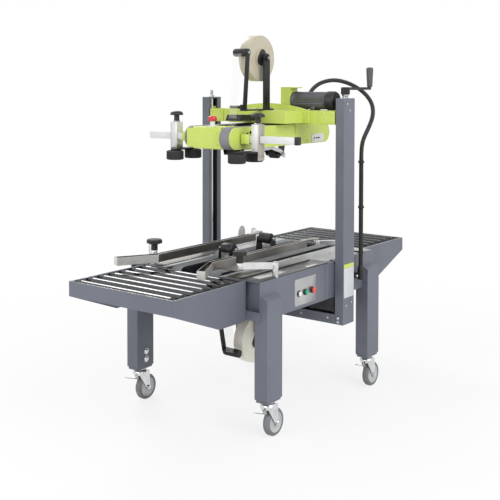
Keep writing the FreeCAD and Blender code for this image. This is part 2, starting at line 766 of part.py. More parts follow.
def caster_fork(where, x, y):
    """A swivel head with two cheeks, an axle and a brake pedal."""
    head_top = "foot_low - caster_plate - seat_gap"
    head_low = f"({head_top} - swivel_thick)"
    front = "-swivel_radius * 0.8"
    outside = "(fork_half + fork_gauge)"
    outline = [
        (front, head_low),
        ("caster_trail + caster_axle", head_low),
        ("caster_trail + fork_tip", "wheel_radius + fork_tip / 2"),
        ("caster_trail + fork_tip / 2", "wheel_radius - fork_tip"),
        ("caster_trail - fork_tip / 2", "wheel_radius - fork_tip"),
        ("caster_trail - fork_tip", "wheel_radius + fork_tip"),
        (front, f"{head_low} - swivel_thick"),
    ]
    cheeks = []
    for side, span in (
        ("far", (f"{y} + fork_half", f"{y} + {outside}")),
        ("near", (f"{y} - {outside}", f"{y} - fork_half")),
    ):
        cheek = profile(f"{where}_{side}_cheek", "xz", outline, span)
        bind(cheek, "Placement.Base.x", x)
        cheeks.append(cheek)
    crown = block(
        f"{where}_crown",
        (f"{x} + {front}", f"{x} + caster_trail + caster_axle"),
        (f"{y} - {outside}", f"{y} + {outside}"),
        (f"{head_low} - fork_gauge", head_low),
    )
    axle = rod(
        f"{where}_axle",
        "y",
        f"{x} + caster_trail",
        (f"{y} - {outside} - axle_nut", f"{y} + {outside} + axle_nut"),
        "wheel_radius",
        "caster_axle",
    )
    low = f"{head_low} - fork_gauge"
    pedal = profile(
        f"{where}_pedal",
        "xz",
        [
            (f"{front} + 1", low),
            (f"{front} + 1", f"{low} - pedal_gauge"),
            ("-pedal_reach + fork_tip", f"{low} - pedal_gauge"),
            ("-pedal_reach", f"{low} - 2.5 * pedal_gauge"),
            ("-pedal_reach", f"{low} - 1.5 * pedal_gauge"),
            ("-pedal_reach + fork_tip", low),
        ],
        (f"{y} - fork_tip", f"{y} + fork_tip"),
    )
    bind(pedal, "Placement.Base.x", x)
    head = rod(f"{where}_swivel", "z", x, y, (head_low, head_top), "swivel_radius")
    return joined(f"{where}_caster_fork", head, *cheeks, crown, axle, pedal)


def caster_wheel(where, x, y):
    """A wheel with a rounded tread, dished sides and a bored hub."""
    bore = "caster_axle + shaft_gap"
    return turned(
        f"{where}_caster_wheel",
        [
            (bore, "-hub_half"),
            ("hub_radius", "-hub_half"),
            ("hub_radius", "-wheel_half + dish"),
            ("wheel_radius - tyre", "-wheel_half + dish"),
            ("wheel_radius - tyre + 3", "-wheel_half"),
            ("wheel_radius - dish", "-wheel_half"),
            ("wheel_radius", "-wheel_half + tread_round"),
            ("wheel_radius", "wheel_half - tread_round"),
            ("wheel_radius - dish", "wheel_half"),
            ("wheel_radius - tyre + 3", "wheel_half"),
            ("wheel_radius - tyre", "wheel_half - dish"),
            ("hub_radius", "wheel_half - dish"),
            ("hub_radius", "hub_half"),
            (bore, "hub_half"),
        ],
        "y",
        f"{x} + caster_trail",
        y,
        "wheel_radius",
    )


# Masts, screws and crank

def masts():
    """Two slotted channels, each with a bored cap that steadies its screw."""
    lip_near = "screw_x - mast_slot / 2"
    lip_far = "screw_x + mast_slot / 2"
    deep = "-mast_outer + mast_wall"
    shallow = "-mast_inner - mast_wall"
    channel = profile(
        "mast_channel",
        "xy",
        [
            ("mast_low_x", "-mast_outer"),
            ("mast_high_x", "-mast_outer"),
            ("mast_high_x", "-mast_inner"),
            (lip_far, "-mast_inner"),
            (lip_far, shallow),
            ("mast_high_x - mast_wall", shallow),
            ("mast_high_x - mast_wall", deep),
            ("mast_low_x + mast_wall", deep),
            ("mast_low_x + mast_wall", shallow),
            (lip_near, shallow),
            (lip_near, "-mast_inner"),
            ("mast_low_x", "-mast_inner"),
        ],
        ("mast_bottom", "mast_top - mast_cap"),
    )
    cap = block(
        "mast_cap_plate",
        ("mast_low_x", "mast_high_x"),
        ("-mast_outer", "-mast_inner"),
        ("mast_top - mast_cap", "mast_top"),
    )
    bore = rod(
        "mast_cap_bore",
        "z",
        "screw_x",
        "-screw_y",
        ("mast_top - mast_cap - 1", "mast_top + 1"),
        "screw_radius + shaft_gap",
    )
    floor = block(
        "mast_floor_plate",
        ("mast_low_x", "mast_high_x"),
        ("-mast_outer", "-mast_inner"),
        ("mast_bottom", "mast_bottom + mast_wall"),
    )
    near = cut("near_mast", joined("near_mast_blank", channel, cap, floor), bore)
    return together("masts", near, mirror("far_mast", near, ACROSS_Y))


def cross_channel():
    """The folded channel that ties the feet of the masts under the bed."""
    low = "mast_bottom + mast_wall"
    return profile(
        "cross_channel",
        "xz",
        [
            ("mast_low_x", "mast_bottom"),
            ("mast_high_x", "mast_bottom"),
            ("mast_high_x", "channel_top"),
            ("mast_high_x - mast_wall", "channel_top"),
            ("mast_high_x - mast_wall", low),
            ("mast_low_x + mast_wall", low),
            ("mast_low_x + mast_wall", "channel_top"),
            ("mast_low_x", "channel_top"),
        ],
        ("-mast_inner", "mast_inner"),
    )


def lower_drive():
    """The chain loop between the screws and the gear motor under the bed."""
    def loop(name, radius, grow):
        level = (f"chain_low - {grow}", f"chain_high + {grow}")
        return joined(
            name,
            block(
                f"{name}_run",
                (f"screw_x - ({radius})", f"screw_x + {radius}"),
                ("-screw_y", "screw_y"),
                level,
            ),
            rod(f"{name}_near", "z", "screw_x", "-screw_y", level, radius),
            rod(f"{name}_far", "z", "screw_x", "screw_y", level, radius),
        )
    chain = cut(
        "drive_chain",
        loop("chain_outside", "chain_radius", 0),
        loop("chain_inside", "(chain_radius - chain_thick)", 1),
    )
    near = "-bed_half_width + sheet_gauge + 2"
    centre = "mast_low_x + gearbox_half + 11"
    gearbox = block(
        "belt_gearbox",
        (f"{centre} - gearbox_half", f"{centre} + gearbox_half"),
        (near, f"{near} + gearbox_deep"),
        ("channel_top + 10", "bed_bottom"),
    )
    motor = rod(
        "belt_motor",
        "y",
        centre,
        (f"{near} + gearbox_deep - 1", f"{near} + gearbox_deep + low_motor_long"),
        "channel_top + low_motor_radius + 16",
        "low_motor_radius",
    )
    return together("lower_drive", chain, joined("belt_drive_motor", gearbox, motor))


SCREW_LOW = "mast_bottom + mast_wall + seat_gap"


def lifting_screw(name, y, collar_thick, top):
    """A lifting screw with its sprocket below and a collar on the mast's cap."""
    sprocket = "chain_radius - chain_thick - sprocket_gap"
    collar = "mast_top + seat_gap"
    return turned(
        name,
        [
            ("0", SCREW_LOW),
            ("screw_radius", SCREW_LOW),
            ("screw_radius", "chain_low"),
            (sprocket, "chain_low"),
            (sprocket, "chain_high"),
            ("screw_radius", "chain_high"),
            ("screw_radius", collar),
            ("screw_collar", collar),
            ("screw_collar", f"mast_top + {collar_thick}"),
            ("screw_radius", f"mast_top + {collar_thick}"),
            ("screw_radius", top),
            ("0", top),
        ],
        "z",
        "screw_x",
        y,
        "0",
    )


def near_screw():
    """The near screw, which ends in the crank's hub."""
    return lifting_screw("near_screw", "-screw_y", "collar_thick", "crank_low - crank_thick")


def far_screw():
    """The far screw with its bare top."""
    return lifting_screw("far_screw", "screw_y", "collar_thick", "far_screw_top")


def crank_handle():
    """A hub, a flat arm and a tapered grip."""
    high = "crank_low + crank_thick"
    hub = rod("crank_hub", "z", "screw_x", "-screw_y", ("crank_low - crank_thick", high),
              "crank_hub")
    arm = block(
        "crank_arm",
        ("screw_x", "screw_x + crank_reach"),
        ("-screw_y - crank_half_width", "-screw_y + crank_half_width"),
        ("crank_low", high),
    )
    grip = turned(
        "crank_grip",
        [
            ("0", "crank_low"),
            ("grip_low_radius", "crank_low"),
            ("grip_low_radius", f"{high} + 6"),
            ("grip_high_radius", "grip_top - 10"),
            ("grip_high_radius - 4", "grip_top"),
            ("0", "grip_top"),
        ],
        "z",
        "screw_x + crank_reach",
        "-screw_y",
        "0",
    )
    return joined("crank_handle", hub, arm, grip)


# Head

def head_beam():
    """The crossbeam with hangers for the belt units, lifting nuts and motor bracket."""
    tube = cut(
        "beam_tube",
        block("beam_outside", ("beam_low_x", "beam_high_x"), ("-beam_half", "beam_half"),
              ("beam_low", "beam_high")),
        block("beam_inside", ("beam_low_x + 4", "beam_high_x - 4"),
              ("-beam_half + beam_cap", "beam_half - beam_cap"),
              ("beam_low + 4", "beam_high - 4")),
    )
    neck = block(
        "beam_neck",
        ("screw_x - neck_half", "screw_x + neck_half"),
        ("-screw_y + nut_half_y - 1", "-beam_half"),
        ("beam_low", "beam_high"),
    )
    tall = ("beam_low - nut_overhang", "beam_high + nut_overhang")
    nut = block(
        "lifting_nut",
        ("screw_x - nut_half_x", "screw_x + nut_half_x"),
        ("-screw_y - nut_half_y", "-screw_y + nut_half_y"),
        tall,
    )
    bore = rod("nut_bore", "z", "screw_x", "-screw_y", (f"{tall[0]} - 1", f"{tall[1]} + 1"),
               "screw_radius + shaft_gap")
    end = cut("near_nut", joined("near_nut_blank", neck, nut), bore)
    middle = "(beam_low_x + beam_high_x) / 2"
    hanger = block(
        "outer_hanger",
        (f"{middle} - hanger_half", f"{middle} + hanger_half"),
        ("belt_outer + seat_gap + cheek", "belt_outer + seat_gap + cheek + 5"),
        ("hanger_low", "beam_low"),
    )
    inner = block(
        "inner_hanger",
        (f"{middle} - hanger_half", f"{middle} + hanger_half"),
        ("belt_inner - seat_gap - cheek - 5", "belt_inner - seat_gap - cheek"),
        ("hanger_low", "beam_low"),
    )
    stand = profile(
        "motor_bracket",
        "yz",
        [
            ("motor_far", "beam_high"),
            ("bracket_far", "beam_high"),
            ("bracket_far", "bracket_top"),
            ("bracket_flange", "bracket_top"),
            ("bracket_flange", "bracket_top - 5"),
            ("motor_far", "bracket_top - 5"),
        ],
        ("beam_low_x + 3", "beam_high_x - 20"),
    )
    tip = block(
        "beam_end_bracket",
        ("beam_low_x - end_plate", "beam_low_x"),
        ("-beam_half", "-beam_half + end_plate_reach"),
        ("beam_low + sheet_gauge", "beam_high - sheet_gauge"),
    )
    return joined(
        "head_beam",
        tube,
        tip,
        mirror("far_end_bracket", tip, ACROSS_Y),
        end,
        mirror("far_nut", end, ACROSS_Y),
        hanger,
        mirror("near_outer_hanger", hanger, ACROSS_Y),
        inner,
        mirror("near_inner_hanger", inner, ACROSS_Y),
        stand,
    )


def arch_cover():
    """The cover with an arched top that stands on the front of the crossbeam."""
    span = ("beam_low_x - arch_gauge", "beam_low_x")
    ends = ("-arch_half", "arch_half")
    radius = "((arch_half^2 + arch_rise^2) / (2 * arch_rise))"
    crown = "beam_high + arch_rise"
    blank = block("arch_blank", span, ends, ("box_low", crown))
    round_top = rod("arch_round", "x", span, "0", f"{crown} - {radius}", radius)
    return shared("arch_cover", blank, round_top)


def top_box():
    """The box in front of the crossbeam, its top sloping down to the far side."""
    return profile(
        "top_box",
        "yz",
        [
            ("box_near", "box_low"),
            ("box_far", "box_low"),
            ("box_far", "box_far_top"),
            ("box_break", "beam_high"),
            ("box_near", "beam_high"),
        ],
        ("box_front", "beam_low_x - arch_gauge"),
    )


def belt_unit(side, ends):
    """The core and the round-ended side plates of one upper belt unit, on the far side."""
    core = stadium(
        f"{side}_unit_core",
        ends,
        "unit_centre",
        "(unit_radius - belt_thick - seat_gap)",
        ("belt_inner - seat_gap", "belt_outer + seat_gap"),
    )
    outer = stadium(
        f"{side}_outer_plate",
        ends,
        "unit_centre",
        "unit_radius",
        ("belt_outer + seat_gap", "belt_outer + seat_gap + cheek"),
    )
    inner = stadium(
        f"{side}_inner_plate",
        ends,
        "unit_centre",
        "unit_radius",
        ("belt_inner - seat_gap - cheek", "belt_inner - seat_gap"),
    )
    return joined(f"{side}_belt_unit", core, outer, inner)


def belt_unit_frames():
    """The frames of both upper belt units."""
    near = belt_unit("near", UNIT_ENDS)
    far = belt_unit("far", FAR_ENDS)
    return together("belt_unit_frames", far, mirror("near_unit_side", near, ACROSS_Y))


def front_cover():
    """The folded nose cover between the upper belts."""
    thick = "sheet_gauge"
    body = profile(
        "nose_sheet",
        "xz",
        [
            ("nose_front", "nose_low"),
            ("nose_front + nose_lip", "nose_low"),
            ("nose_front + nose_lip", f"nose_low + {thick}"),
            (f"nose_front + {thick}", f"nose_low + {thick}"),
            (f"nose_front + {thick}", f"nose_high - {thick}"),
            ("nose_back", f"nose_high - {thick}"),
            ("nose_back", "nose_high"),
            ("nose_front", "nose_high"),
        ],
        ("-belt_inner + seat_gap + cheek", "belt_inner - seat_gap - cheek"),
    )
    front = size("nose_front")
    soften(body, "nose_round", lambda edge: runs(edge, ACROSS_Y)
           and edge.BoundBox.XMax < front + 1)
    wing = profile(
        "nose_wing",
        "xy",
        [
            ("nose_front", "belt_inner - seat_gap - cheek - 1"),
            ("nose_front + sheet_gauge", "belt_inner - seat_gap - cheek - 1"),
            ("nose_front + sheet_gauge", "nose_far - sheet_gauge"),
            ("nose_front + sheet_gauge + 2", "nose_far - sheet_gauge"),
            ("nose_front + sheet_gauge + 2", "nose_far"),
            ("nose_front", "nose_far"),
        ],
        ("nose_low + nose_round", "nose_high - nose_round"),
    )
    return joined("front_cover", body, wing)


def emergency_stop():
    """A collar with a mushroom button on the nose cover."""
    neck = "nose_high + stop_neck"
    return turned(
        "emergency_stop",
        [
            ("0", "nose_high"),
            ("stop_base", "nose_high"),
            ("stop_base", neck),
            ("stop_cap - 3", neck),
            ("stop_cap", f"{neck} + 4"),
            ("stop_cap", "stop_top - 8"),
            ("stop_cap - 7", "stop_top"),
            ("0", "stop_top"),
        ],
        "z",
        "stop_x",
        "stop_y",
        "0",
    )


def squeezer_bar(side, end):
    """One bar with its mounting plate, socket and end cap, on the far side."""
    face = "belt_outer + seat_gap + cheek"
    plate = block(
        f"{side}_bar_plate",
        ("mount_front", "mount_back"),
        (face, f"{face} + 5"),
        ("mount_low", "mount_high"),
    )
    socket = block(
        f"{side}_bar_socket",
        ("bar_low_x - socket_wall", "bar_high_x + socket_wall"),
        (f"{face} + 5", "socket_end"),
        ("bar_low - socket_wall", "bar_high + socket_wall"),
    )
    bar = block(
        f"{side}_bar",
        ("bar_low_x", "bar_high_x"),
        ("socket_end", end),
        ("bar_low", "bar_high"),
    )
    cap = block(
        f"{side}_bar_cap",
        ("bar_low_x - 2", "bar_high_x + 2"),
        (end, f"{end} + bar_cap"),
        ("bar_low - 2", "bar_high + 2"),
    )
    return joined(f"{side}_squeezer_bar", plate, socket, bar, cap)


def squeezer_bars():
    """The bars on which the squeezers slide."""
    near = squeezer_bar("near", "near_bar_end")
    far = squeezer_bar("far", "far_bar_end")
    return together("squeezer_bars", mirror("near_bar_side", near, ACROSS_Y), far)


def knob(name, x, y, base):
    """A clamping knob: a stem under a broad round cap."""
    top = f"{base} + knob_height"
    return turned(
        name,
        [
            ("0", base),
            ("knob_stem", base),
            ("knob_stem", f"{top} - knob_thick"),
            ("knob_cap - 2", f"{top} - knob_thick"),
            ("knob_cap", f"{top} - knob_thick + 3"),
            ("knob_cap", f"{top} - 5"),
            ("knob_cap - 6", top),
            ("0", top),
        ],
        "z",
        x,
        y,
        "0",
    )


def star_knob(name, x, y, base):
    """A clamping knob whose cap has six lobes."""
    top = f"{base} + knob_height"
    low = f"{top} - knob_thick"
    parts = [
        rod(f"{name}_stem", "z", x, y, (base, top), "knob_stem"),
        rod(f"{name}_cap", "z", x, y, (low, top), "lobe_circle"),
    ]
    for n in range(6):
        way_x = round(math.cos(math.pi * n / 3), 4)
        way_y = round(math.sin(math.pi * n / 3), 4)
        parts.append(rod(f"{name}_lobe_{n + 1}", "z", f"{x} + lobe_circle * {way_x}",
                         f"{y} + lobe_circle * {way_y}", (low, top), "lobe_radius"))
    return joined(name, *parts)


def squeezer(side, centre):
    """A block on the bar, its knob, and an arm with two upright wheels, on the far side."""
    middle = "(bar_low_x + bar_high_x) / 2"
    low_y = f"{centre} - block_width / 2"
    high_y = f"{centre} + block_width / 2"
    body = block(
        f"{side}_block_body",
        ("bar_low_x - block_wall", "bar_high_x + block_wall"),
        (low_y, high_y),
        ("block_low", "block_high"),
    )
    bore = block(
        f"{side}_block_bore",
        ("bar_low_x - slide_gap", "bar_high_x + slide_gap"),
        (f"{low_y} - 1", f"{high_y} + 1"),
        ("bar_low - slide_gap", "bar_high + slide_gap"),
    )
    tail = block(
        f"{side}_block_tail",
        ("bar_low_x - block_wall", "bar_high_x + block_wall"),
        (f"{high_y} - tail_gauge", high_y),
        ("block_tail", "block_low"),
    )
    front_x = f"{middle} - press_forward - press_spread"
    rear_x = f"{middle} - press_forward + press_spread"
    wheel_y = f"{centre} - press_inward"
    level = ("block_low - arm_gauge", "block_low")
    arm = profile(
        f"{side}_wheel_arm",
        "xy",
        [
            (f"{front_x} - arm_tip", f"{wheel_y} - arm_tip"),
            (f"{rear_x} + arm_tip", f"{wheel_y} - arm_tip"),
            (f"{rear_x} + arm_tip", f"{wheel_y} + arm_tip"),
            ("bar_high_x + block_wall", f"{high_y} - tail_gauge"),
            ("bar_low_x - block_wall", f"{high_y} - tail_gauge"),
            (f"{front_x} - arm_tip", f"{wheel_y} + arm_tip"),
        ],
        level,
    )
    wheels = [
        turned(
            f"{side}_{spot}_press_wheel",
            [
                ("0", "press_low - 4"),
                ("spindle", "press_low - 4"),
                ("spindle", "press_low"),
                ("press_radius - press_lobes", "press_low"),
                ("press_radius", "press_low + press_lobes"),
                ("press_radius", "press_high - press_lobes"),
                ("press_radius - press_lobes", "press_high"),
                ("spindle", "press_high"),
                ("spindle", level[0]),
                ("0", level[0]),
            ],
            "z",
            x,
            wheel_y,
            "0",
        )
        for spot, x in (("front", front_x), ("rear", rear_x))
    ]
    bored = cut(f"{side}_block", joined(f"{side}_block_blank", body, tail), bore)
    top = knob(f"{side}_squeezer_knob", middle, centre, "block_high")
    return joined(f"{side}_squeezer_solid", bored, arm, *wheels, top)


def near_squeezer():
    """The near squeezer, mirrored from the far side's form."""
    return mirror("near_squeezer", squeezer("near", "near_block"), ACROSS_Y)


def far_squeezer():
    """The far squeezer."""
    item = squeezer("far", "far_block")
    item.Label = "far_squeezer"
    return item


def head_motor():
    """The belt motor on the crossbeam, with feet, fan cover and terminal box."""
    middle = "(beam_low_x + beam_high_x) / 2"
    shell = rod("motor_shell", "y", middle, ("motor_near", "motor_far"), "motor_z", "motor_radius")
    fan = turned(
        "motor_fan_cover",
        [
            ("0", "motor_near"),
            ("fan_radius", "motor_near"),
            ("fan_radius", "fan_end + 12"),
            ("fan_radius - 12", "fan_end"),
            ("0", "fan_end"),
        ],
        "y",
        middle,
        "0",
        "motor_z",
    )
    foot = block(
        "motor_foot",
        (f"{middle} - 30", f"{middle} + 30"),
        ("motor_near + 30", "motor_far - 30"),
        ("beam_high", "motor_z - 20"),
    )
    terminal = block(
        "motor_terminal",
        (f"{middle} + 30", f"{middle} + terminal_reach"),
        ("terminal_near", "terminal_far"),
        ("motor_z - terminal_drop", "motor_z - 10"),
    )
    return joined("head_motor", shell, fan, foot, terminal)


# Tape heads

def tape_plates(name, corners):
    """Two like plates beside the tape, cut to an outline seen from the side."""
    near = profile(f"{name}_plate", "xz", corners, ("-tape_plate_outer", "-tape_plate_inner"))
    return near, mirror(f"{name}_far_plate", near, ACROSS_Y)


def ear(x, tip, root, half):
    """The four corners of an ear, in the order of growing X."""
    return [
        (f"{x} - {half} - ear_slope", root),
        (f"{x} - {half}", tip),
        (f"{x} + {half}", tip),
        (f"{x} + {half} + ear_slope", root),
    ]


def tape_roller(name, x, z, radius):
    """A roller with the pin that runs between the plates."""
    drum = rod(f"{name}_drum", "y", x, ("-tape_half", "tape_half"), z, radius)
    pin = rod(f"{name}_pin", "y", x, ("-tape_plate_outer", "tape_plate_outer"), z, "pin_radius")
    return drum, pin


def tie(name, x, z):
    """A round spacer between two tape head plates."""
    return rod(name, "y", x, ("-tape_plate_inner - 1", "tape_plate_inner + 1"), z, "tie_radius")


def upper_tape_head():
    """Side plates under the crossbeam with the upper rollers."""
    root = "unit_centre - unit_radius - 2"
    front = "high_front_x - high_roller - head_margin"
    rear = "high_rear_x + high_roller + head_margin"
    near, far = tape_plates("upper", [
        (front, root),
        *ear("high_front_x", "high_front_z - high_roller * 0.6", root, "high_roller * 0.8"),
        *ear("high_rear_x", "high_rear_z - high_roller * 0.6", root, "high_roller * 0.8"),
        (rear, root),
        (rear, "beam_low"),
        (front, "beam_low"),
    ])
    rollers = tape_roller("upper_front_roller", "high_front_x", "high_front_z", "high_roller")
    rollers += tape_roller("upper_rear_roller", "high_rear_x", "high_rear_z", "high_roller")
    ties = [
        tie("upper_front_tie", "high_front_x - head_margin", "unit_centre"),
        tie("upper_middle_tie", "(high_front_x + high_rear_x) / 2", "unit_centre"),
        tie("upper_rear_tie", "high_rear_x + head_margin", "unit_centre"),
    ]
    return joined("upper_tape_head", near, far, *rollers, *ties)


def lower_tape_head():
    """Side plates on the cross rails with the lower rollers above the bed."""
    near, far = tape_plates("lower", [
        ("-rail_centre - head_margin", "rail_high"),
        ("rail_centre + rail_width / 2", "rail_high"),
        ("rail_centre + rail_width / 2", "low_head_top - head_margin"),
        ("low_rear_x + head_margin", "low_head_top"),
        *ear("low_rear_x", "low_rear_z + pin_radius", "low_head_top", "low_rear_roller * 0.8")[::-1],
        *ear("low_front_x", "low_front_z + pin_radius", "low_head_top", "low_front_roller * 0.6")[::-1],
        ("-rail_centre - head_margin", "low_head_top"),
    ])
    rollers = tape_roller("lower_front_roller", "low_front_x", "low_front_z", "low_front_roller")
    rollers += tape_roller("lower_rear_roller", "low_rear_x", "low_rear_z", "low_rear_roller")
    level = "(rail_high + low_head_top) / 2"
    ties = [
        tie("lower_front_tie", "low_front_x + 2 * head_margin", level),
        tie("lower_middle_tie", "low_roll_x", level),
        tie("lower_rear_tie", "low_rear_x + head_margin", level),
    ]
    return joined("lower_tape_head", near, far, *rollers, *ties)


def roll_arm(name, x, roll_z, level, inner):
    """An arm with a round head that holds a roll's spindle; it starts at the inner face."""
    face = f"-({inner})"
    outer = f"-({inner}) - roll_arm_gauge"
    return joined(
        name,
        block(f"{name}_bar", (f"{x} - roll_arm_half", f"{x} + roll_arm_half"), (outer, face), level),
        rod(f"{name}_head", "y", x, (outer, face), roll_z, "roll_arm_half"),
        rod(f"{name}_spindle", "y", x, (f"{outer} - spindle", "roll_half + spindle"), roll_z,
            "spindle"),
        rod(f"{name}_nut", "y", x, (f"{outer} - spindle", outer), roll_z, "spindle * 1.6"),
    )


def upper_tape_arms():
    """The base on the top box with the upper roll's arm and the leaning film guide."""
    outer = "-roll_arm_inner - roll_arm_gauge"
    face = "-tape_plate_outer"
    base = block(
        "arms_base",
        ("base_front", "top_roll_x + 2 * roll_arm_half"),
        (f"{outer} - base_gauge", face),
        ("beam_high + seat_gap", "beam_high + seat_gap + base_gauge"),
    )
    arm = roll_arm("upper_roll_arm", "top_roll_x", "top_roll_z",
                   ("beam_high + seat_gap", "top_roll_z"), "roll_arm_inner")
    stud = rod("base_stud", "y", "base_front + 2 * spindle", (face, "tape_half"),
               "beam_high + base_gauge + 1.5 * spindle", "spindle")
    lug = block(
        "base_lug",
        ("base_front", "base_front + 4 * spindle"),
        (f"{face} - lean_gauge", face),
        ("beam_high + seat_gap", "beam_high + base_gauge + 3 * spindle"),
    )
    lean = profile(
        "upper_lean",
        "xz",
        [
            ("lean_foot_x - lean_half", "beam_high + seat_gap"),
            ("lean_foot_x + lean_half", "beam_high + seat_gap"),
            ("film_x + lean_half", "film_z"),
            ("film_x - lean_half", "film_z"),
        ],
        (f"{face} - lean_gauge", face),
    )
    guide = rod("upper_guide", "y", "film_x", (f"{face} - lean_gauge", "guide_reach"), "film_z",
                "guide_radius")
    return joined("upper_tape_arms", base, arm, stud, lug, lean, guide)


def lower_tape_arms():
    """The hanger of the lower roll's spindle, and the lower film guide on the far side."""
    post = roll_arm("lower_roll_arm", "low_roll_x", "low_roll_z",
                    ("low_roll_z", "rail_high + head_margin"), "tape_plate_outer + seat_gap")
    lean = profile(
        "lower_lean",
        "xz",
        [
            ("low_film_x - lean_half", "low_film_z"),
            ("low_film_x + lean_half", "low_film_z"),
            ("low_lean_x + lean_half", "low_lean_bend"),
            ("low_lean_x + lean_half", "rail_high + head_margin"),
            ("low_lean_x - lean_half", "rail_high + head_margin"),
            ("low_lean_x - lean_half", "low_lean_bend"),
        ],
        ("tape_plate_outer + seat_gap", "tape_plate_outer + seat_gap + lean_gauge"),
    )
    guide = rod("lower_guide", "y", "low_film_x", ("-tape_plate_outer", "tape_plate_outer + 1"),
                "low_film_z", "guide_radius")
    return together("lower_tape_arms", post, joined("lower_film_guide", lean, guide))


def tape_roll(label, x, z):
    """A roll of tape on its flanged hub, bored for the spindle."""
    bore = "spindle + shaft_gap"
    return turned(
        label,
        [
            (bore, "-roll_half - 8"),
            ("hub_flange", "-roll_half - 8"),
            ("hub_flange", "-roll_half"),
            ("roll_radius", "-roll_half"),
            ("roll_radius", "roll_half"),
            ("core_radius", "roll_half"),
            ("core_radius", "roll_half - 6"),
            (bore, "roll_half - 6"),
        ],
        "y",
        x,
        "0",
        z,
    )


# Side guides

def link(name, start, reach, level, half):
    """A flat arm with round bored eyes; it leaves its post by the two reach formulas."""
    length = f"sqrt(({reach[0]})^2 + ({reach[1]})^2)"
    side_x = f"({reach[1]}) / {length} * {half}"
    side_y = f"({reach[0]}) / {length} * {half}"
    far_x = f"{start[0]} + {reach[0]}"
    far_y = f"{start[1]} + {reach[1]}"
    bar = profile(
        f"{name}_bar",
        "xy",
        [
            (f"{start[0]} - {side_x}", f"{start[1]} + {side_y}"),
            (f"{start[0]} + {side_x}", f"{start[1]} - {side_y}"),
            (f"{far_x} + {side_x}", f"{far_y} - {side_y}"),
            (f"{far_x} - {side_x}", f"{far_y} + {side_y}"),
        ],
        level,
    )
    eyes = [
        rod(f"{name}_near_eye", "z", start[0], start[1], level, "link_eye"),
        rod(f"{name}_far_eye", "z", far_x, far_y, level, "link_eye"),
    ]
    return joined(f"{name}_blank", bar, *eyes), (far_x, far_y)


def eye_bore(name, spot, level):
    """The running hole of an eye on its pin."""
    return rod(name, "z", spot[0], spot[1], (f"{level[0]} - 1", f"{level[1]} + 1"),
               "pin_radius + shaft_gap")


REACH = ("(knob_x - post_x)", "(knob_y - post_y)")
REAR_PIVOT = ("(rear_post_x + knob_x - post_x)", "(rear_post_y + knob_y - post_y)")
FRONT_LEVEL = ("link_low", "link_high")
REAR_LEVEL = ("link_low", "rear_link_high")


def front_arm(side):
    """The front arm between its post and the rail's clamped pivot, on the far side."""
    start = ("post_x", "post_y")
    blank, far = link(f"{side}_front_link", start, REACH, FRONT_LEVEL, "link_half")
    holes = joined(
        f"{side}_front_holes",
        eye_bore(f"{side}_front_post_hole", start, FRONT_LEVEL),
        eye_bore(f"{side}_front_knob_hole", far, FRONT_LEVEL),
    )
    return cut(f"{side}_front_form", blank, holes)


def rear_arm(side):
    """The rear arm on its post; its free eye runs under the rail's lug."""
    start = ("rear_post_x", "rear_post_y")
    blank, far = link(f"{side}_rear_link", start, REACH, REAR_LEVEL, "link_half")
    boss = rod(f"{side}_rear_boss", "z", far[0], far[1],
               ("rear_link_high", "guide_high - lug_thick - 2"), "8")
    hole = eye_bore(f"{side}_rear_post_hole", start, REAR_LEVEL)
    return cut(f"{side}_rear_form", joined(f"{side}_rear_solid", blank, boss), hole)


def guide_rail(side):
    """A guide rail with its flare, pivot plate, knob and rear tongue, on the far side."""
    bar = profile(
        f"{side}_rail_bar",
        "xy",
        [
            ("guide_rear", "guide_inner"),
            ("guide_rear", "guide_outer"),
            ("guide_corner", "guide_outer"),
            ("flare_tip_x + 14", "flare_tip_y + flare_width"),
            ("flare_tip_x", "flare_tip_y"),
            ("guide_corner", "guide_inner"),
        ],
        ("guide_low", "guide_high"),
    )
    trough = profile(
        f"{side}_rail_trough",
        "xy",
        [
            ("guide_rear + 1", "guide_inner + rail_wall"),
            ("guide_rear + 1", "guide_outer - rail_wall"),
            ("guide_corner - rail_wall / 4", "guide_outer - rail_wall"),
            ("flare_tip_x + 14 + rail_wall", "flare_tip_y + flare_width - rail_wall * 2.2"),
            ("flare_tip_x + rail_wall * 1.6", "flare_tip_y + rail_wall * 0.6"),
            ("guide_corner - rail_wall / 4", "guide_inner + rail_wall"),
        ],
        ("guide_low + rail_wall", "guide_high + 1"),
    )
    channel = cut(f"{side}_rail_channel", bar, trough)
    plate = block(
        f"{side}_pivot_plate",
        ("knob_x - plate_wide", "knob_x + plate_wide"),
        ("guide_outer - 1", "knob_y + link_eye + 4"),
        ("guide_low", "link_low - seat_gap"),
    )
    pin = rod(f"{side}_front_pin", "z", "knob_x", "knob_y", ("guide_low", "link_high + 1"),
              "pin_radius")
    shape = star_knob if side == "near" else knob
    top = shape(f"{side}_guide_knob", "knob_x", "knob_y", "link_high + seat_gap")
    tongue = profile(
        f"{side}_rear_tongue",
        "xy",
        [
            ("guide_rear - 40", "guide_inner"),
            ("guide_rear + 20", "guide_inner"),
            (f"{REAR_PIVOT[0]} + 10", f"{REAR_PIVOT[1]} - 14"),
            (f"{REAR_PIVOT[0]} + 14", f"{REAR_PIVOT[1]} + 10"),
            (f"{REAR_PIVOT[0]} - 8", f"{REAR_PIVOT[1]} + 14"),
            ("guide_rear + 10", "guide_outer"),
            ("guide_rear - 40", "guide_outer"),
        ],
        ("guide_high - lug_thick", "guide_high"),
    )
    return joined(f"{side}_rail_solid", channel, plate, pin, top, tongue)


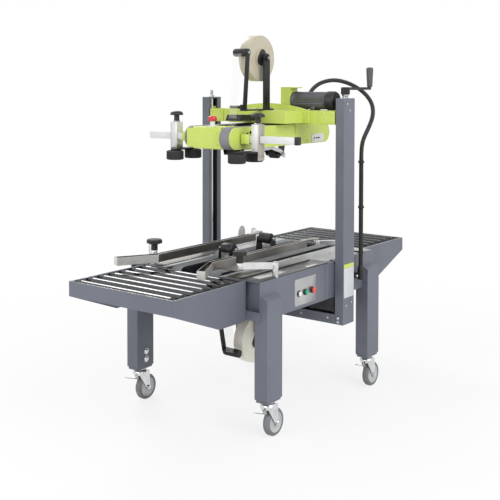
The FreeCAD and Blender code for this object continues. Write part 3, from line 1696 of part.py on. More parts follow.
def guide_posts():
    """Posts with pins and heads on which the guide arms turn."""
    posts = []
    for name, x, y, high, base in (
        ("front", "post_x", "post_y", "link_high", "bed_top"),
        ("rear", "rear_post_x", "rear_post_y", "rear_link_high", "bed_top + plate_lift"),
    ):
        posts.append(turned(
            f"far_{name}_post",
            [
                ("0", base),
                ("post_radius", base),
                ("post_radius", "link_low - seat_gap"),
                ("pin_radius", "link_low - seat_gap"),
                ("pin_radius", f"{high} + seat_gap"),
                ("pin_radius + 4", f"{high} + seat_gap"),
                ("pin_radius + 4", f"{high} + 5"),
                ("0", f"{high} + 5"),
            ],
            "z",
            x,
            y,
            "0",
        ))
    far = together("far_guide_posts", *posts)
    return together("guide_posts", far, mirror("near_guide_posts", far, ACROSS_Y))


def both_sides(suffix, build):
    """The near and far sub-parts of one form that is built on the far side."""
    near = mirror(f"near_{suffix}", build("near"), ACROSS_Y)
    far = build("far")
    far.Label = f"far_{suffix}"
    return [near, far]


# Controls and cable

def control_panel():
    """The control plate with its three push buttons."""
    face = "-bed_half_width - sheet_gauge"
    plate = block("control_plate", ("panel_low_x", "panel_high_x"), (face, "-bed_half_width"),
                  ("panel_low", "panel_high"))
    buttons = [
        rod(f"push_button_{n}", "y", x, (f"{face} - 16", face), "button_z", "button_radius")
        for n, x in enumerate(("-202", "-150", "-90"))
    ]
    return joined("control_panel", plate, *buttons)


def cable_riser():
    """The rigid conduit beside the near mast, with its boot, elbow and rings."""
    corners = [("0", "riser_low"), ("boot_radius", "riser_low"), ("boot_radius", "boot_high")]
    corners.append(("riser_radius", "boot_high"))
    for level in ("755", "970", "(riser_high - 12)"):
        corners += [
            ("riser_radius", level),
            ("riser_radius + 3", level),
            ("riser_radius + 3", f"{level} + 12"),
            ("riser_radius", f"{level} + 12"),
        ]
    corners[-1] = ("0", "riser_high")
    tube = turned("riser_tube", corners, "z", "riser_x", "riser_y", "0")
    elbow = block(
        "riser_elbow",
        ("riser_x - 12", "riser_x + 12"),
        ("riser_y", "-bed_half_width"),
        ("riser_low + 4", "riser_low + 30"),
    )
    return joined("cable_riser", tube, elbow)


HOSE_ROUTE = [
    (308, -425, 1195),
    (308, -425, 1250),
    (328, -425, 1300),
    (390, -425, 1360),
    (433, -423, 1416),
    (457, -404, 1474),
    (462, -355, 1530),
    (435, -292, 1574),
    (390, -228, 1597),
    (342, -176, 1586),
    (300, -150, 1558),
    (272, -138, 1522),
    (257, -132, 1478),
]


def cable_hose():
    """The flexible conduit that arches from the riser to the motor's terminal box."""
    points = [Vector(*point) for point in HOSE_ROUTE]
    edges = []
    corner_end = points[0]
    for before, corner, after in zip(points, points[1:], points[2:]):
        into = (corner - before).normalize()
        away = (after - corner).normalize()
        turn = into.getAngle(away)
        run = min((corner - before).Length, (after - corner).Length)
        inset = 0.45 * run
        radius = inset / math.tan(turn / 2)
        print(f"hose radius {radius:.0f} mm")
        first = corner - into * inset
        last = corner + away * inset
        bisector = (away - into).normalize()
        middle = corner + bisector * (radius / math.cos(turn / 2) - radius)
        edges.append(Part.LineSegment(corner_end, first).toShape())
        edges.append(Part.Arc(first, middle, last).toShape())
        corner_end = last
    edges.append(Part.LineSegment(corner_end, points[-1]).toShape())
    path = Part.Wire(edges)
    radius = size("riser_radius")
    ring = Part.Wire([Part.Circle(points[0], points[1] - points[0], radius).toShape()])
    tube = path.makePipeShell([ring], True, False)
    item = doc.addObject("Part::Feature", "cable_hose")
    item.Shape = tube
    item.Placement = FreeCAD.Placement()
    print(f"hose volume ratio {tube.Volume / (math.pi * radius ** 2 * path.Length):.4f}")
    return item


def outfeed(label, infeed):
    """The outfeed's copy of an infeed sub-part."""
    return mirror(label, infeed, ACROSS_X)


def build():
    """Every sub-part, each under the label that names its file."""
    infeed_frame = infeed_table_frame()
    infeed_row = infeed_rollers()
    parts = [
        bed_frame(),
        bed_top_plates(),
        bottom_belt_frames(),
        bottom_belts(),
        infeed_frame,
        infeed_row,
        outfeed("outfeed_table_frame", infeed_frame),
        outfeed("outfeed_rollers", infeed_row),
        legs(),
        caster_plates(),
        masts(),
        cross_channel(),
        lower_drive(),
        near_screw(),
        far_screw(),
        crank_handle(),
        head_beam(),
        arch_cover(),
        top_box(),
        belt_unit_frames(),
        top_belts(),
        front_cover(),
        emergency_stop(),
        squeezer_bars(),
        near_squeezer(),
        far_squeezer(),
        head_motor(),
        upper_tape_head(),
        lower_tape_head(),
        upper_tape_arms(),
        lower_tape_arms(),
        tape_roll("upper_tape_roll", "top_roll_x", "top_roll_z"),
        tape_roll("lower_tape_roll", "low_roll_x", "low_roll_z"),
        guide_posts(),
        *both_sides("guide_rail", guide_rail),
        *both_sides("front_arm", front_arm),
        *both_sides("rear_arm", rear_arm),
        control_panel(),
        cable_riser(),
        cable_hose(),
    ]
    for where, x, y in CASTERS:
        parts.append(caster_fork(where, x, y))
        parts.append(caster_wheel(where, x, y))
    return parts


def export(parts):
    """Check every object of the document, then write each sub-part."""
    doc.recompute()
    faults = [
        f"{item.Label}: {item.State}"
        for item in doc.Objects
        if {"Invalid", "Error"} & set(item.State)
    ]
    faults += [
        f"{item.Label}: no valid shape"
        for item in parts
        if item.Shape.isNull() or not item.Shape.isValid() or not item.Shape.Solids
    ]
    if faults:
        raise RuntimeError("; ".join(faults))
    os.makedirs("parts", exist_ok=True)
    for item in parts:
        item.Shape.exportStep(f"parts/{item.Label}.step")
    print(len(parts), "sub-parts written")


export(build())
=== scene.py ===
"""Carton sealer dressed for viewing: finishes, small fittings, the cable and a plain studio."""
import json
import logging
import math
from collections.abc import Callable, Sequence
from dataclasses import dataclass
from enum import Enum

import bmesh
import bpy
import numpy as np
from mathutils import Euler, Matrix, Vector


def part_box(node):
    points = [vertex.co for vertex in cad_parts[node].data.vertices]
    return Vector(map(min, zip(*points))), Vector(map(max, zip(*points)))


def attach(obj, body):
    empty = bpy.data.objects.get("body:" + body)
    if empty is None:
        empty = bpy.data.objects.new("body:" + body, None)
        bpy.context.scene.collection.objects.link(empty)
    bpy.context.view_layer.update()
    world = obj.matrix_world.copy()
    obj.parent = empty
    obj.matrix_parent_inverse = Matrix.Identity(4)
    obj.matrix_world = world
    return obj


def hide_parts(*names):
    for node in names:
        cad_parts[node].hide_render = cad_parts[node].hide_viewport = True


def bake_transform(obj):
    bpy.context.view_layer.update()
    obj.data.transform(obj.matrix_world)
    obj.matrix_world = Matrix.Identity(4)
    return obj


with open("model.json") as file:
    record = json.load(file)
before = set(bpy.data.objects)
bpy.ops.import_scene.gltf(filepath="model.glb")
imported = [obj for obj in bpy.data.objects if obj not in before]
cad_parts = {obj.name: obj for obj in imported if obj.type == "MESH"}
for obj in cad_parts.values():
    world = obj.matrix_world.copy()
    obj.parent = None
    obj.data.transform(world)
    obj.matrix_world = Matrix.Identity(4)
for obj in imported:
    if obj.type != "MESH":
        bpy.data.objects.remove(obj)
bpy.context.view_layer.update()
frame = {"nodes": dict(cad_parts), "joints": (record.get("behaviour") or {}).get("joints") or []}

METRES = 0.001
LOG = logging.getLogger("carton_sealer")
Pair = tuple[float, float]
Point = tuple[float, float, float]
Lobes = Callable[[np.ndarray], np.ndarray]
# Distances in metres and angles in degrees that are used to clean meshes.
DOUBLES = 2e-6
SLIVERS = 1e-6
WELD_GAP = 1e-5
FLAT_ANGLE = 0.5
BEVEL_ANGLE = 40.0
X, Y, Z = range(3)


@dataclass(frozen=True)
class Extent:
    """The lowest and highest corner of a node in millimetres."""

    low: Point
    high: Point


def extent(node: str) -> Extent:
    """Where a node of the frame lies at rest, to a thousandth of a millimetre."""
    return Extent(*[tuple(round(value / METRES, 3) for value in corner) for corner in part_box(node)])


def pivot(joint: str) -> Point:
    """The point that a hinge of the frame turns about, in millimetres."""
    place = next(row["pos_m"] for row in frame["joints"] if row["name"] == joint)
    return tuple(round(value / METRES, 3) for value in place)


# The axes of both tape rolls as x and z.
UPPER_ROLL = pivot("upper_roll_turn")[::2]
LOWER_ROLL = pivot("lower_roll_turn")[::2]


class Along(Enum):
    """The axis that a turned or flat piece lies along, as the order in which x, y, z are taken."""

    X = (2, 0, 1)
    Y = (1, 2, 0)
    Z = (0, 1, 2)


# Surfaces


@dataclass(frozen=True)
class Shape:
    """A surface in millimetres: its points, and its faces as rows of point numbers."""

    points: np.ndarray
    faces: tuple[tuple[int, ...], ...]

    def __add__(self, other: "Shape") -> "Shape":
        """Both surfaces as one."""
        count = len(self.points)
        shifted = tuple(tuple(n + count for n in face) for face in other.faces)
        return Shape(np.vstack([self.points, other.points]), self.faces + shifted)

    def at(self, x: float = 0, y: float = 0, z: float = 0) -> "Shape":
        """The surface moved by x, y and z."""
        return Shape(self.points + np.array([x, y, z]), self.faces)

    def lying(self, along: Along) -> "Shape":
        """The surface with its own z axis laid along an axis of the object."""
        return Shape(self.points[:, list(along.value)], self.faces)

    def turned(self, degrees: float, along: Along = Along.Z) -> "Shape":
        """The surface turned about an axis through the origin."""
        turn = Euler([math.radians(degrees) * (along is axis) for axis in (Along.X, Along.Y, Along.Z)])
        return Shape(self.points @ np.array(turn.to_matrix()).T, self.faces)

    def mirrored(self) -> "Shape":
        """The surface on the other side of the middle plane, y turned to -y."""
        return Shape(self.points * np.array([1, -1, 1]), tuple(face[::-1] for face in self.faces))

    def both_sides(self) -> "Shape":
        """The surface and its mirror image."""
        return self + self.mirrored()


def union(shapes: Sequence[Shape]) -> Shape:
    """Several surfaces as one.

    Args:
        shapes: The surfaces.

    Returns:
        One surface that holds all their faces.
    """
    whole = shapes[0]
    for shape in shapes[1:]:
        whole = whole + shape
    return whole


def grid(points: np.ndarray, loop: bool = False, caps: bool = False) -> Shape:
    """Quads between the rows and columns of a grid of points, whose last column meets the first.

    Args:
        points: An array of rows by columns by 3.
        loop: Whether the last row meets the first.
        caps: Whether the first and last rows are filled with one face each.

    Returns:
        The surface.
    """
    rows, columns = points.shape[:2]
    row = np.arange(rows if loop else rows - 1)[:, None]
    column = np.arange(columns)[None, :]
    below, above = row * columns, (row + 1) % rows * columns
    beside = (column + 1) % columns
    quads = np.stack([below + column, below + beside, above + beside, above + column], -1)
    faces = [tuple(quad) for quad in quads.reshape(-1, 4).tolist()]
    if caps:
        faces.append(tuple(range(columns - 1, -1, -1)))
        faces.append(tuple(range((rows - 1) * columns, rows * columns)))
    return Shape(points.reshape(-1, 3), tuple(faces))


def lathed(
    rows: Sequence[Pair],
    steps: int = 32,
    lobes: Lobes | None = None,
    loop: bool = False,
) -> Shape:
    """A lathe form: radius times the cosine and sine of the angle, at each row's height.

    Args:
        rows: Radius and height of each row, upwards.
        steps: Points round the circle.
        lobes: A factor on the radius for each angle, such as the lobes of a knob.
        loop: Whether the last row meets the first, as in a ring.

    Returns:
        The surface about its own z axis.
    """
    radius, height = np.array(rows, float).T
    angle = np.linspace(0, 2 * np.pi, steps, endpoint=False)
    spread = radius[:, None] * (lobes(angle) if lobes else np.ones(steps))[None, :]
    points = [spread * np.cos(angle), spread * np.sin(angle), height[:, None] + 0 * spread]
    return grid(np.stack(points, -1), loop=loop)


def block(low: Point, high: Point, edge: float = 0.8, steps: int = 3) -> Shape:
    """A block with rounded edges: each point is a corner of the inner block, plus the edge
    radius times the unit vector that points from the middle through the surface.

    Args:
        low: Its lowest corner.
        high: Its highest corner.
        edge: The radius of the edges.
        steps: Points across each rounded quarter.

    Returns:
        The surface.
    """
    low_corner, high_corner = np.array(low, float), np.array(high, float)
    edge = min(edge, 0.45 * float((high_corner - low_corner).min()))
    quarter = np.linspace(0, np.pi / 2, steps)
    longitude = np.concatenate([quarter + n * np.pi / 2 for n in range(4)])
    latitude = np.concatenate([quarter - np.pi / 2, quarter])
    east, north = np.meshgrid(longitude, latitude)
    normal = np.stack([np.cos(north) * np.cos(east), np.cos(north) * np.sin(east), np.sin(north)], -1)
    side_x, side_y = np.repeat([1, -1, -1, 1], steps), np.repeat([1, 1, -1, -1], steps)
    side_z = np.repeat([-1, 1], steps)[:, None] + 0 * side_x[None, :]
    sides = np.stack([side_x + 0 * side_z, side_y + 0 * side_z, side_z], -1)
    half = (high_corner - low_corner) / 2 - edge
    shell = grid((low_corner + high_corner) / 2 + sides * half + edge * normal)
    last = (2 * steps - 1) * 4 * steps
    floor = tuple(n * steps for n in (3, 2, 1, 0))
    roof = tuple(last + n * steps for n in range(4))
    return Shape(shell.points, shell.faces + (floor, roof))


def plate(outline: Sequence[Pair], thick: float, edge: float = 0.6) -> Shape:
    """A flat plate: the outline at four heights, drawn in by the edge at the first and last.

    Args:
        outline: Corners anticlockwise about the plate's own z axis.
        thick: Its thickness, upwards from zero.
        edge: The chamfer of its rims.

    Returns:
        The surface.
    """
    corners = np.array(outline, float)
    ahead = np.roll(corners, -1, 0) - corners
    ahead /= np.linalg.norm(ahead, axis=1)[:, None]
    inward = np.stack([-ahead[:, 1], ahead[:, 0]], 1)
    before = np.roll(inward, 1, 0)
    miter = (inward + before) / (1 + (inward * before).sum(1))[:, None]
    rows = [(edge, 0), (0, edge), (0, thick - edge), (edge, thick)]
    levels = [np.column_stack([corners + miter * inset, np.full(len(corners), z)]) for inset, z in rows]
    return grid(np.array(levels), caps=True)


def swept(path: np.ndarray, radius: np.ndarray, steps: int) -> Shape:
    """A tube: circles square to the path, set out from the cross product of path and guide, a
    direction that the path never takes.

    Args:
        path: Points along the middle, as rows.
        radius: The radius at each point.
        steps: Points round the tube.

    Returns:
        The surface, closed at both ends.
    """
    guide = np.array([1.0, 1.0, 0.0])
    ahead = np.gradient(path, axis=0)
    ahead /= np.linalg.norm(ahead, axis=1)[:, None]
    side = np.cross(ahead, guide)
    side /= np.linalg.norm(side, axis=1)[:, None]
    up = np.cross(ahead, side)
    angle = np.linspace(0, 2 * np.pi, steps, endpoint=False)
    circle = side[:, None] * np.cos(angle)[:, None] + up[:, None] * np.sin(angle)[:, None]
    return grid(path[:, None] + circle * np.asarray(radius)[:, None, None], caps=True)


# Finishes


def linear(colour: str) -> tuple[float, float, float, float]:
    """An sRGB colour such as "#6F7480" as linear red, green and blue, by the sRGB curve, and alpha 1."""
    parts = [int(colour[n:n + 2], 16) / 255 for n in (1, 3, 5)]
    return (*[c / 12.92 if c <= 0.04045 else ((c + 0.055) / 1.055) ** 2.4 for c in parts], 1.0)


def add_node(
    tree: bpy.types.NodeTree, kind: str, settings: dict | None = None, inputs: dict | None = None
) -> bpy.types.Node:
    """Adds one node to a tree.

    Args:
        tree: The tree.
        kind: The node's type.
        settings: Properties of the node by name.
        inputs: For each input by name or number, the socket linked to it or its value.

    Returns:
        The node.
    """
    node = tree.nodes.new(kind)
    for name, value in (settings or {}).items():
        setattr(node, name, value)
    for name, value in (inputs or {}).items():
        if isinstance(value, bpy.types.NodeSocket):
            tree.links.new(value, node.inputs[name])
        else:
            node.inputs[name].default_value = value
    return node


def ramp(
    tree: bpy.types.NodeTree, factor: bpy.types.NodeSocket, stops: dict[float, str]
) -> bpy.types.NodeSocket:
    """A colour ramp over a factor.

    Args:
        tree: The tree.
        factor: The factor's socket.
        stops: The colour at each place from 0 to 1.

    Returns:
        The colour's socket.
    """
    node = add_node(tree, "ShaderNodeValToRGB", inputs={"Fac": factor})
    for number, (place, colour) in enumerate(stops.items()):
        if number < 2:
            element = node.color_ramp.elements[number]
            element.position = place
        else:
            element = node.color_ramp.elements.new(place)
        element.color = linear(colour)
    return node.outputs["Color"]


@dataclass(frozen=True)
class Finish:
    """One finish: a colour that drifts to a second one in soft patches, and a fine grain.

    The grain is noise of a real size, stretched by a factor along each axis, that raises the
    surface and varies its roughness. Tone is the grain's share in the drift of the colour. Sockets
    sets further inputs of the shader by name. Slot is the record's material slot of the pieces
    that have this finish, and stays empty for one that only the frame's own nodes have.
    """

    name: str
    colour: str
    drift: str
    patch_mm: float = 180.0
    roughness: float = 0.45
    unevenness: float = 0.06
    metallic: float = 0.0
    grain_mm: float = 1.6
    grain_height_mm: float = 0.05
    stretch: Point = (1.0, 1.0, 1.0)
    sockets: tuple[tuple[str, float], ...] = ()
    tone: float = 0.0
    slot: str = ""

    def coordinates(
        self, tree: bpy.types.NodeTree, size_mm: float, stretch: Point = (1, 1, 1)
    ) -> bpy.types.NodeSocket:
        """Object coordinates in units of a real size.

        Args:
            tree: The material's tree.
            size_mm: The size in millimetres.
            stretch: A factor on the size along each axis.

        Returns:
            The coordinates' socket.
        """
        place = add_node(tree, "ShaderNodeTexCoord").outputs["Object"]
        scale = tuple(1 / (METRES * size_mm * share) for share in stretch)
        mapping = add_node(tree, "ShaderNodeMapping", inputs={"Vector": place, "Scale": scale})
        return mapping.outputs["Vector"]

    def base(self, tree: bpy.types.NodeTree) -> bpy.types.NodeSocket:
        """The colour's socket: soft patches, and a trace of the grain where tone asks for it."""
        patches = add_node(tree, "ShaderNodeTexNoise", inputs={
            "Vector": self.coordinates(tree, self.patch_mm), "Scale": 1.0, "Detail": 3.0})
        factor = patches.outputs["Fac"]
        if self.tone:
            factor = add_node(tree, "ShaderNodeMix", {"data_type": "FLOAT"}, {
                0: self.tone, 2: factor, 3: self.grain(tree)}).outputs[0]
        return ramp(tree, factor, {0.35: self.colour, 0.65: self.drift})

    def grain(self, tree: bpy.types.NodeTree) -> bpy.types.NodeSocket:
        """The grain's height, from 0 to 1."""
        return add_node(tree, "ShaderNodeTexNoise", inputs={
            "Vector": self.coordinates(tree, self.grain_mm, self.stretch),
            "Scale": 1.0, "Detail": 2.0}).outputs["Fac"]

    def make(self) -> bpy.types.Material:
        """The material, made once and found by its name after that."""
        found = bpy.data.materials.get(self.name)
        if found:
            return found
        material = bpy.data.materials.new(self.name)
        material.use_nodes = True
        tree = material.node_tree
        shader = tree.nodes["Principled BSDF"]
        grain = self.grain(tree)
        rough = add_node(tree, "ShaderNodeMapRange", inputs={
            "Value": grain, "To Min": self.roughness - self.unevenness,
            "To Max": self.roughness + self.unevenness})
        bump = add_node(tree, "ShaderNodeBump", inputs={
            "Height": grain, "Strength": 1.0, "Distance": METRES * self.grain_height_mm})
        tree.links.new(self.base(tree), shader.inputs["Base Color"])
        tree.links.new(rough.outputs["Result"], shader.inputs["Roughness"])
        tree.links.new(bump.outputs["Normal"], shader.inputs["Normal"])
        shader.inputs["Metallic"].default_value = self.metallic
        for socket, value in self.sockets:
            shader.inputs[socket].default_value = value
        return material


@dataclass(frozen=True)
class RingFinish(Finish):
    """A finish with rings round an axis that runs along Y, as on the side of a wound roll."""

    centre: Pair = (0.0, 0.0)
    pitch_mm: float = 2.4

    def grain(self, tree: bpy.types.NodeTree) -> bpy.types.NodeSocket:
        """Rings: noise in one dimension over the distance from the axis, a pitch apart."""
        place = add_node(tree, "ShaderNodeTexCoord").outputs["Object"]
        x, z = (METRES * value for value in self.centre)
        flat = add_node(tree, "ShaderNodeVectorMath", {"operation": "MULTIPLY_ADD"}, {
            0: place, 1: (1, 0, 1), 2: (-x, 0, -z)})
        reach = add_node(tree, "ShaderNodeVectorMath", {"operation": "LENGTH"}, {0: flat.outputs[0]})
        turns = add_node(tree, "ShaderNodeTexNoise", {"noise_dimensions": "1D"}, {
            "W": reach.outputs["Value"], "Scale": 1 / (METRES * self.pitch_mm), "Detail": 4.0})
        return turns.outputs["Fac"]


# Powder coat of the frame: a matt slate skin with a fine orange peel, 1.7 mm across, that softens
# highlights.
FRAME_PAINT = Finish("powder_coat_slate", "#626671", "#6A6E7A", patch_mm=260, roughness=0.42,
                     unevenness=0.05, grain_mm=1.7, grain_height_mm=0.035, slot="frame_grey")
# Powder coat of the head's sheet: the same orange peel in lime, a little glossier.
LIME_PAINT = Finish("powder_coat_lime", "#C2D25F", "#CADA6C", patch_mm=220, roughness=0.36,
                    unevenness=0.05, grain_mm=1.7, grain_height_mm=0.03, slot="lime")
# Ground stainless sheet of the bed's top: fine scratches along X under a soft shine.
BED_SHEET = Finish("ground_stainless_sheet", "#A9AAAA", "#B7B8B8", patch_mm=120, roughness=0.36,
                   unevenness=0.08, metallic=0.75, grain_mm=1.2, grain_height_mm=0.01,
                   stretch=(70, 1, 1))
# Drawn tube under clear zinc and a gloss coat, its marks drawn out along Z. Its base is far darker than
# bright zinc: a painted dark reflection, against which the lamps draw bright lines.
ROLLER_ZINC = Finish("zinc_tube_painted_dark", "#3E3F41", "#4A4B4D", patch_mm=60, roughness=0.2,
                     unevenness=0.04, metallic=1.0, grain_mm=0.9, grain_height_mm=0.004,
                     stretch=(1, 1, 40), sockets=(("Coat Weight", 1.0), ("Coat Roughness", 0.08)))
# Galvanised tube of the outfeed rollers: a little duller, its marks drawn out along Z. Its base, darker
# still, is a painted dark reflection as on the infeed rollers.
ROLLER_DARK = Finish("galvanised_tube_painted_dark", "#2C2D2F", "#38393B", patch_mm=70, roughness=0.24,
                     unevenness=0.05, metallic=1.0, grain_mm=1.0, grain_height_mm=0.004,
                     stretch=(1, 1, 40), sockets=(("Coat Weight", 0.6), ("Coat Roughness", 0.1)))
# Electroplated zinc on pressed steel, slightly blue with small crystals.
ZINC = Finish("bright_zinc_plate", "#A4A7AB", "#BCBFC2", patch_mm=24, roughness=0.32,
              unevenness=0.1, metallic=1.0, grain_mm=3.0, grain_height_mm=0.02, slot="zinc")
# Chromed pressing: a clear mirror that carries hard highlights on every bend.
CHROME = Finish("bright_chromed_pressing", "#CDCFD1", "#DADCDD", patch_mm=30, roughness=0.14,
                unevenness=0.05, metallic=1.0, grain_mm=3.0, grain_height_mm=0.004, slot="zinc")
# Ground edge of stainless sheet: smooth and light, with no raised grain. It also makes a light strip that
# paints a reflection on the bed's channels.
EDGE_STEEL = Finish("ground_sheet_edge", "#CFCFCB", "#DCDCD8", patch_mm=200, roughness=0.26,
                    unevenness=0.03, metallic=0.7, grain_mm=12.0, grain_height_mm=0.0,
                    slot="stainless")
# Dark grey metal of the folded channels along the bed's edges, its grain drawn out along X.
DARK_CHANNEL = Finish("dark_channel_sheet", "#4A4A4D", "#59595C", patch_mm=120, roughness=0.28,
                      metallic=0.8, grain_mm=2.0, grain_height_mm=0.006, stretch=(60, 1, 1),
                      slot="stainless")
# Upright brushing on the squeezers' grey clamp plates.
CLAMP_GREY = Finish("brushed_clamp_plate", "#AFA99F", "#BDB7AD", patch_mm=60, roughness=0.36,
                    unevenness=0.07, metallic=0.6, grain_mm=1.0, grain_height_mm=0.006,
                    stretch=(1, 1, 60), slot="squeezer_steel")
# Chemically blackened steel: dark, half gloss.
BLACK_STEEL = Finish("blackened_steel", "#17181A", "#222326", patch_mm=60, roughness=0.38,
                     unevenness=0.07, metallic=0.35, grain_mm=1.2, grain_height_mm=0.015,
                     slot="black_metal")
# Rolled screw thread: bright steel with a soft gloss and a fine grain.
SCREW_STEEL = Finish("rolled_thread_steel", "#A6A8AA", "#BDBFC0", patch_mm=30, roughness=0.25,
                     unevenness=0.08, metallic=1.0, grain_mm=1.5, grain_height_mm=0.01, slot="zinc")
# Bright pressed steel of pedals, posts and brackets.
SILVER_STEEL = Finish("bright_pressed_steel", "#B9BBBC", "#CBCCCD", patch_mm=40, roughness=0.3,
                      unevenness=0.08, metallic=1.0, grain_mm=1.4, grain_height_mm=0.012,
                      slot="zinc")
# Mill-polished stainless channel: a warm grey that mirrors the room softly, drawn out along X.
POLISHED = Finish("polished_stainless_channel", "#8B8883", "#9E9A95", patch_mm=160, roughness=0.3,
                  metallic=1.0, grain_mm=3.0, grain_height_mm=0.004, stretch=(400, 1, 1),
                  slot="stainless")
# Bright drawn flat bar of the guides' arms: nearly white, its marks along X.
BRIGHT_ARM = Finish("bright_drawn_flat", "#D2D3D3", "#E0E1E1", patch_mm=60, roughness=0.28,
                    unevenness=0.07, metallic=0.85, grain_mm=1.0, grain_height_mm=0.008,
                    stretch=(40, 1, 1), slot="stainless")
# Coated aluminium of the squeezers' blocks: silvery white with a trace of metal.
SQUEEZER_WHITE = Finish("silver_white_coated_aluminium", "#D3D4D2", "#DEDFDD", patch_mm=40,
                        roughness=0.4, metallic=0.3, grain_mm=1.2, grain_height_mm=0.02,
                        slot="squeezer_steel")
# Satin pale sheet of the plain plate on the near mast.
PALE_PLATE = Finish("satin_pale_sheet", "#C6C9CC", "#CFD2D4", patch_mm=60, unevenness=0.05,
                    metallic=0.1, grain_mm=1.0, grain_height_mm=0.006, slot="pale_plate")
# Moulded glass-filled nylon: near black, with a spark-eroded texture of 0.7 mm. It also makes the black
# sheets of painted shade inside the masts.
NYLON = Finish("moulded_black_nylon", "#151516", "#1E1E20", patch_mm=40, roughness=0.5,
               unevenness=0.08, grain_mm=0.7, grain_height_mm=0.03, slot="black_plastic")
# Moulded grey plastic of the crank's grip: matt and slightly rough.
GRIP = Finish("moulded_grey_grip", "#4A4B4F", "#55565A", patch_mm=40, roughness=0.55,
              unevenness=0.08, grain_mm=0.9, grain_height_mm=0.04, slot="grip_grey")
# Moulded black rubber: matt, with a grain of 1.2 mm. It also makes the black sheets of painted shade under
# the roller tables.
RUBBER = Finish("moulded_black_rubber", "#19191A", "#242425", patch_mm=30, roughness=0.72,
                unevenness=0.08, grain_mm=1.2, slot="black_rubber")
# Grey elastic rubber of the casters' tyres.
WHEEL_RUBBER = Finish("grey_elastic_rubber", "#6E7073", "#7C7E81", patch_mm=35, roughness=0.62,
                      unevenness=0.08, grain_mm=1.4)
# Pale grey polypropylene of the casters' discs.
WHEEL_HUB = Finish("pale_grey_polypropylene", "#B4B6B8", "#C2C4C6", patch_mm=30, grain_mm=1.0,
                   grain_height_mm=0.03, slot="wheel_grey")
# Rough-topped rubber belt: small knots about 2 mm apart grip the carton.
BELT = Finish("rough_top_belt", "#77797C", "#85878A", patch_mm=120, roughness=0.78, unevenness=0.08,
              grain_mm=2.2, grain_height_mm=0.35)
# Glossy red plastic of the emergency stop, under a thin clear coat.
STOP_RED = Finish("glossy_red_plastic", "#C01A22", "#C8222A", patch_mm=30, roughness=0.25,
                  unevenness=0.04, grain_mm=1.0, grain_height_mm=0.01,
                  sockets=(("Coat Weight", 0.3),), slot="stop_red")
# Glossy light red plastic of a push button.
BUTTON_RED = Finish("glossy_red_push_cap", "#D8564A", "#E06456", patch_mm=30, roughness=0.28,
                    unevenness=0.04, grain_mm=1.0, grain_height_mm=0.01, slot="stop_red")
# Glossy blue-green plastic of a push button.
BUTTON_GREEN = Finish("glossy_green_plastic", "#27A98A", "#31B493", patch_mm=30, roughness=0.28,
                      unevenness=0.04, grain_mm=1.0, grain_height_mm=0.01, slot="panel")
# Glossy white plastic of a push button.
BUTTON_WHITE = Finish("glossy_white_plastic", "#E4E4E0", "#EDEDEA", patch_mm=30, roughness=0.3,
                      unevenness=0.04, grain_mm=1.0, grain_height_mm=0.01, slot="white_bar")
# White enamel of the squeezers' bars, the stop's collar and the tension plate.
WHITE_BAR = Finish("white_enamel_bar", "#D6D8D8", "#E0E2E2", patch_mm=60, roughness=0.35,
                   unevenness=0.05, grain_mm=1.5, grain_height_mm=0.02, slot="white_bar")
# Die-cast aluminium of the belt motor's shell: grey, satin and a little uneven.
MOTOR_SILVER = Finish("die_cast_aluminium", "#55565A", "#646569", patch_mm=50, roughness=0.4,
                      metallic=0.5, grain_height_mm=0.02, slot="motor_grey")
# Dark enamel over the castings of the lower drive.
MOTOR_PAINT = Finish("cast_motor_enamel", "#1F2022", "#292A2D", patch_mm=50, unevenness=0.08,
                     metallic=0.1, grain_mm=2.0, grain_height_mm=0.08)
# Steel of the control plate, brushed along X.
PANEL_STEEL = Finish("brushed_panel_plate", "#B2B3B3", "#C1C2C2", patch_mm=60, roughness=0.36,
                     unevenness=0.07, metallic=0.85, grain_mm=0.9, grain_height_mm=0.008,
                     stretch=(60, 1, 1), slot="panel")
# Single clear film, seen by its gloss and a faint haze.
FILM = Finish("clear_polypropylene_film", "#E9E8E2", "#F0EFEA", patch_mm=400, roughness=0.12,
              unevenness=0.02, grain_mm=40.0, grain_height_mm=0.0, sockets=(("Alpha", 0.12),),
              slot="tape")
# Wound clear tape of the upper roll: grey cream, glossy, with faint rings on its side.
UPPER_TAPE = RingFinish("wound_clear_tape_upper", "#B7B09A", "#C6BFAA", patch_mm=90, roughness=0.36,
                        unevenness=0.05, grain_mm=1.0, grain_height_mm=0.008,
                        sockets=(("Coat Weight", 0.25),), tone=0.5, centre=UPPER_ROLL, slot="tape")
# Wound clear tape of the lower roll: the same tape and rings as the upper roll, in a paler cream that is
# painted light on the lower roll.
LOWER_TAPE_LIT = RingFinish("wound_clear_tape_lower_painted_light", "#E9E4D4", "#F1EDE0", patch_mm=90, roughness=0.36,
                        unevenness=0.05, grain_mm=1.0, grain_height_mm=0.008,
                        sockets=(("Coat Weight", 0.25),), tone=0.5, centre=LOWER_ROLL, slot="tape")


# Placing


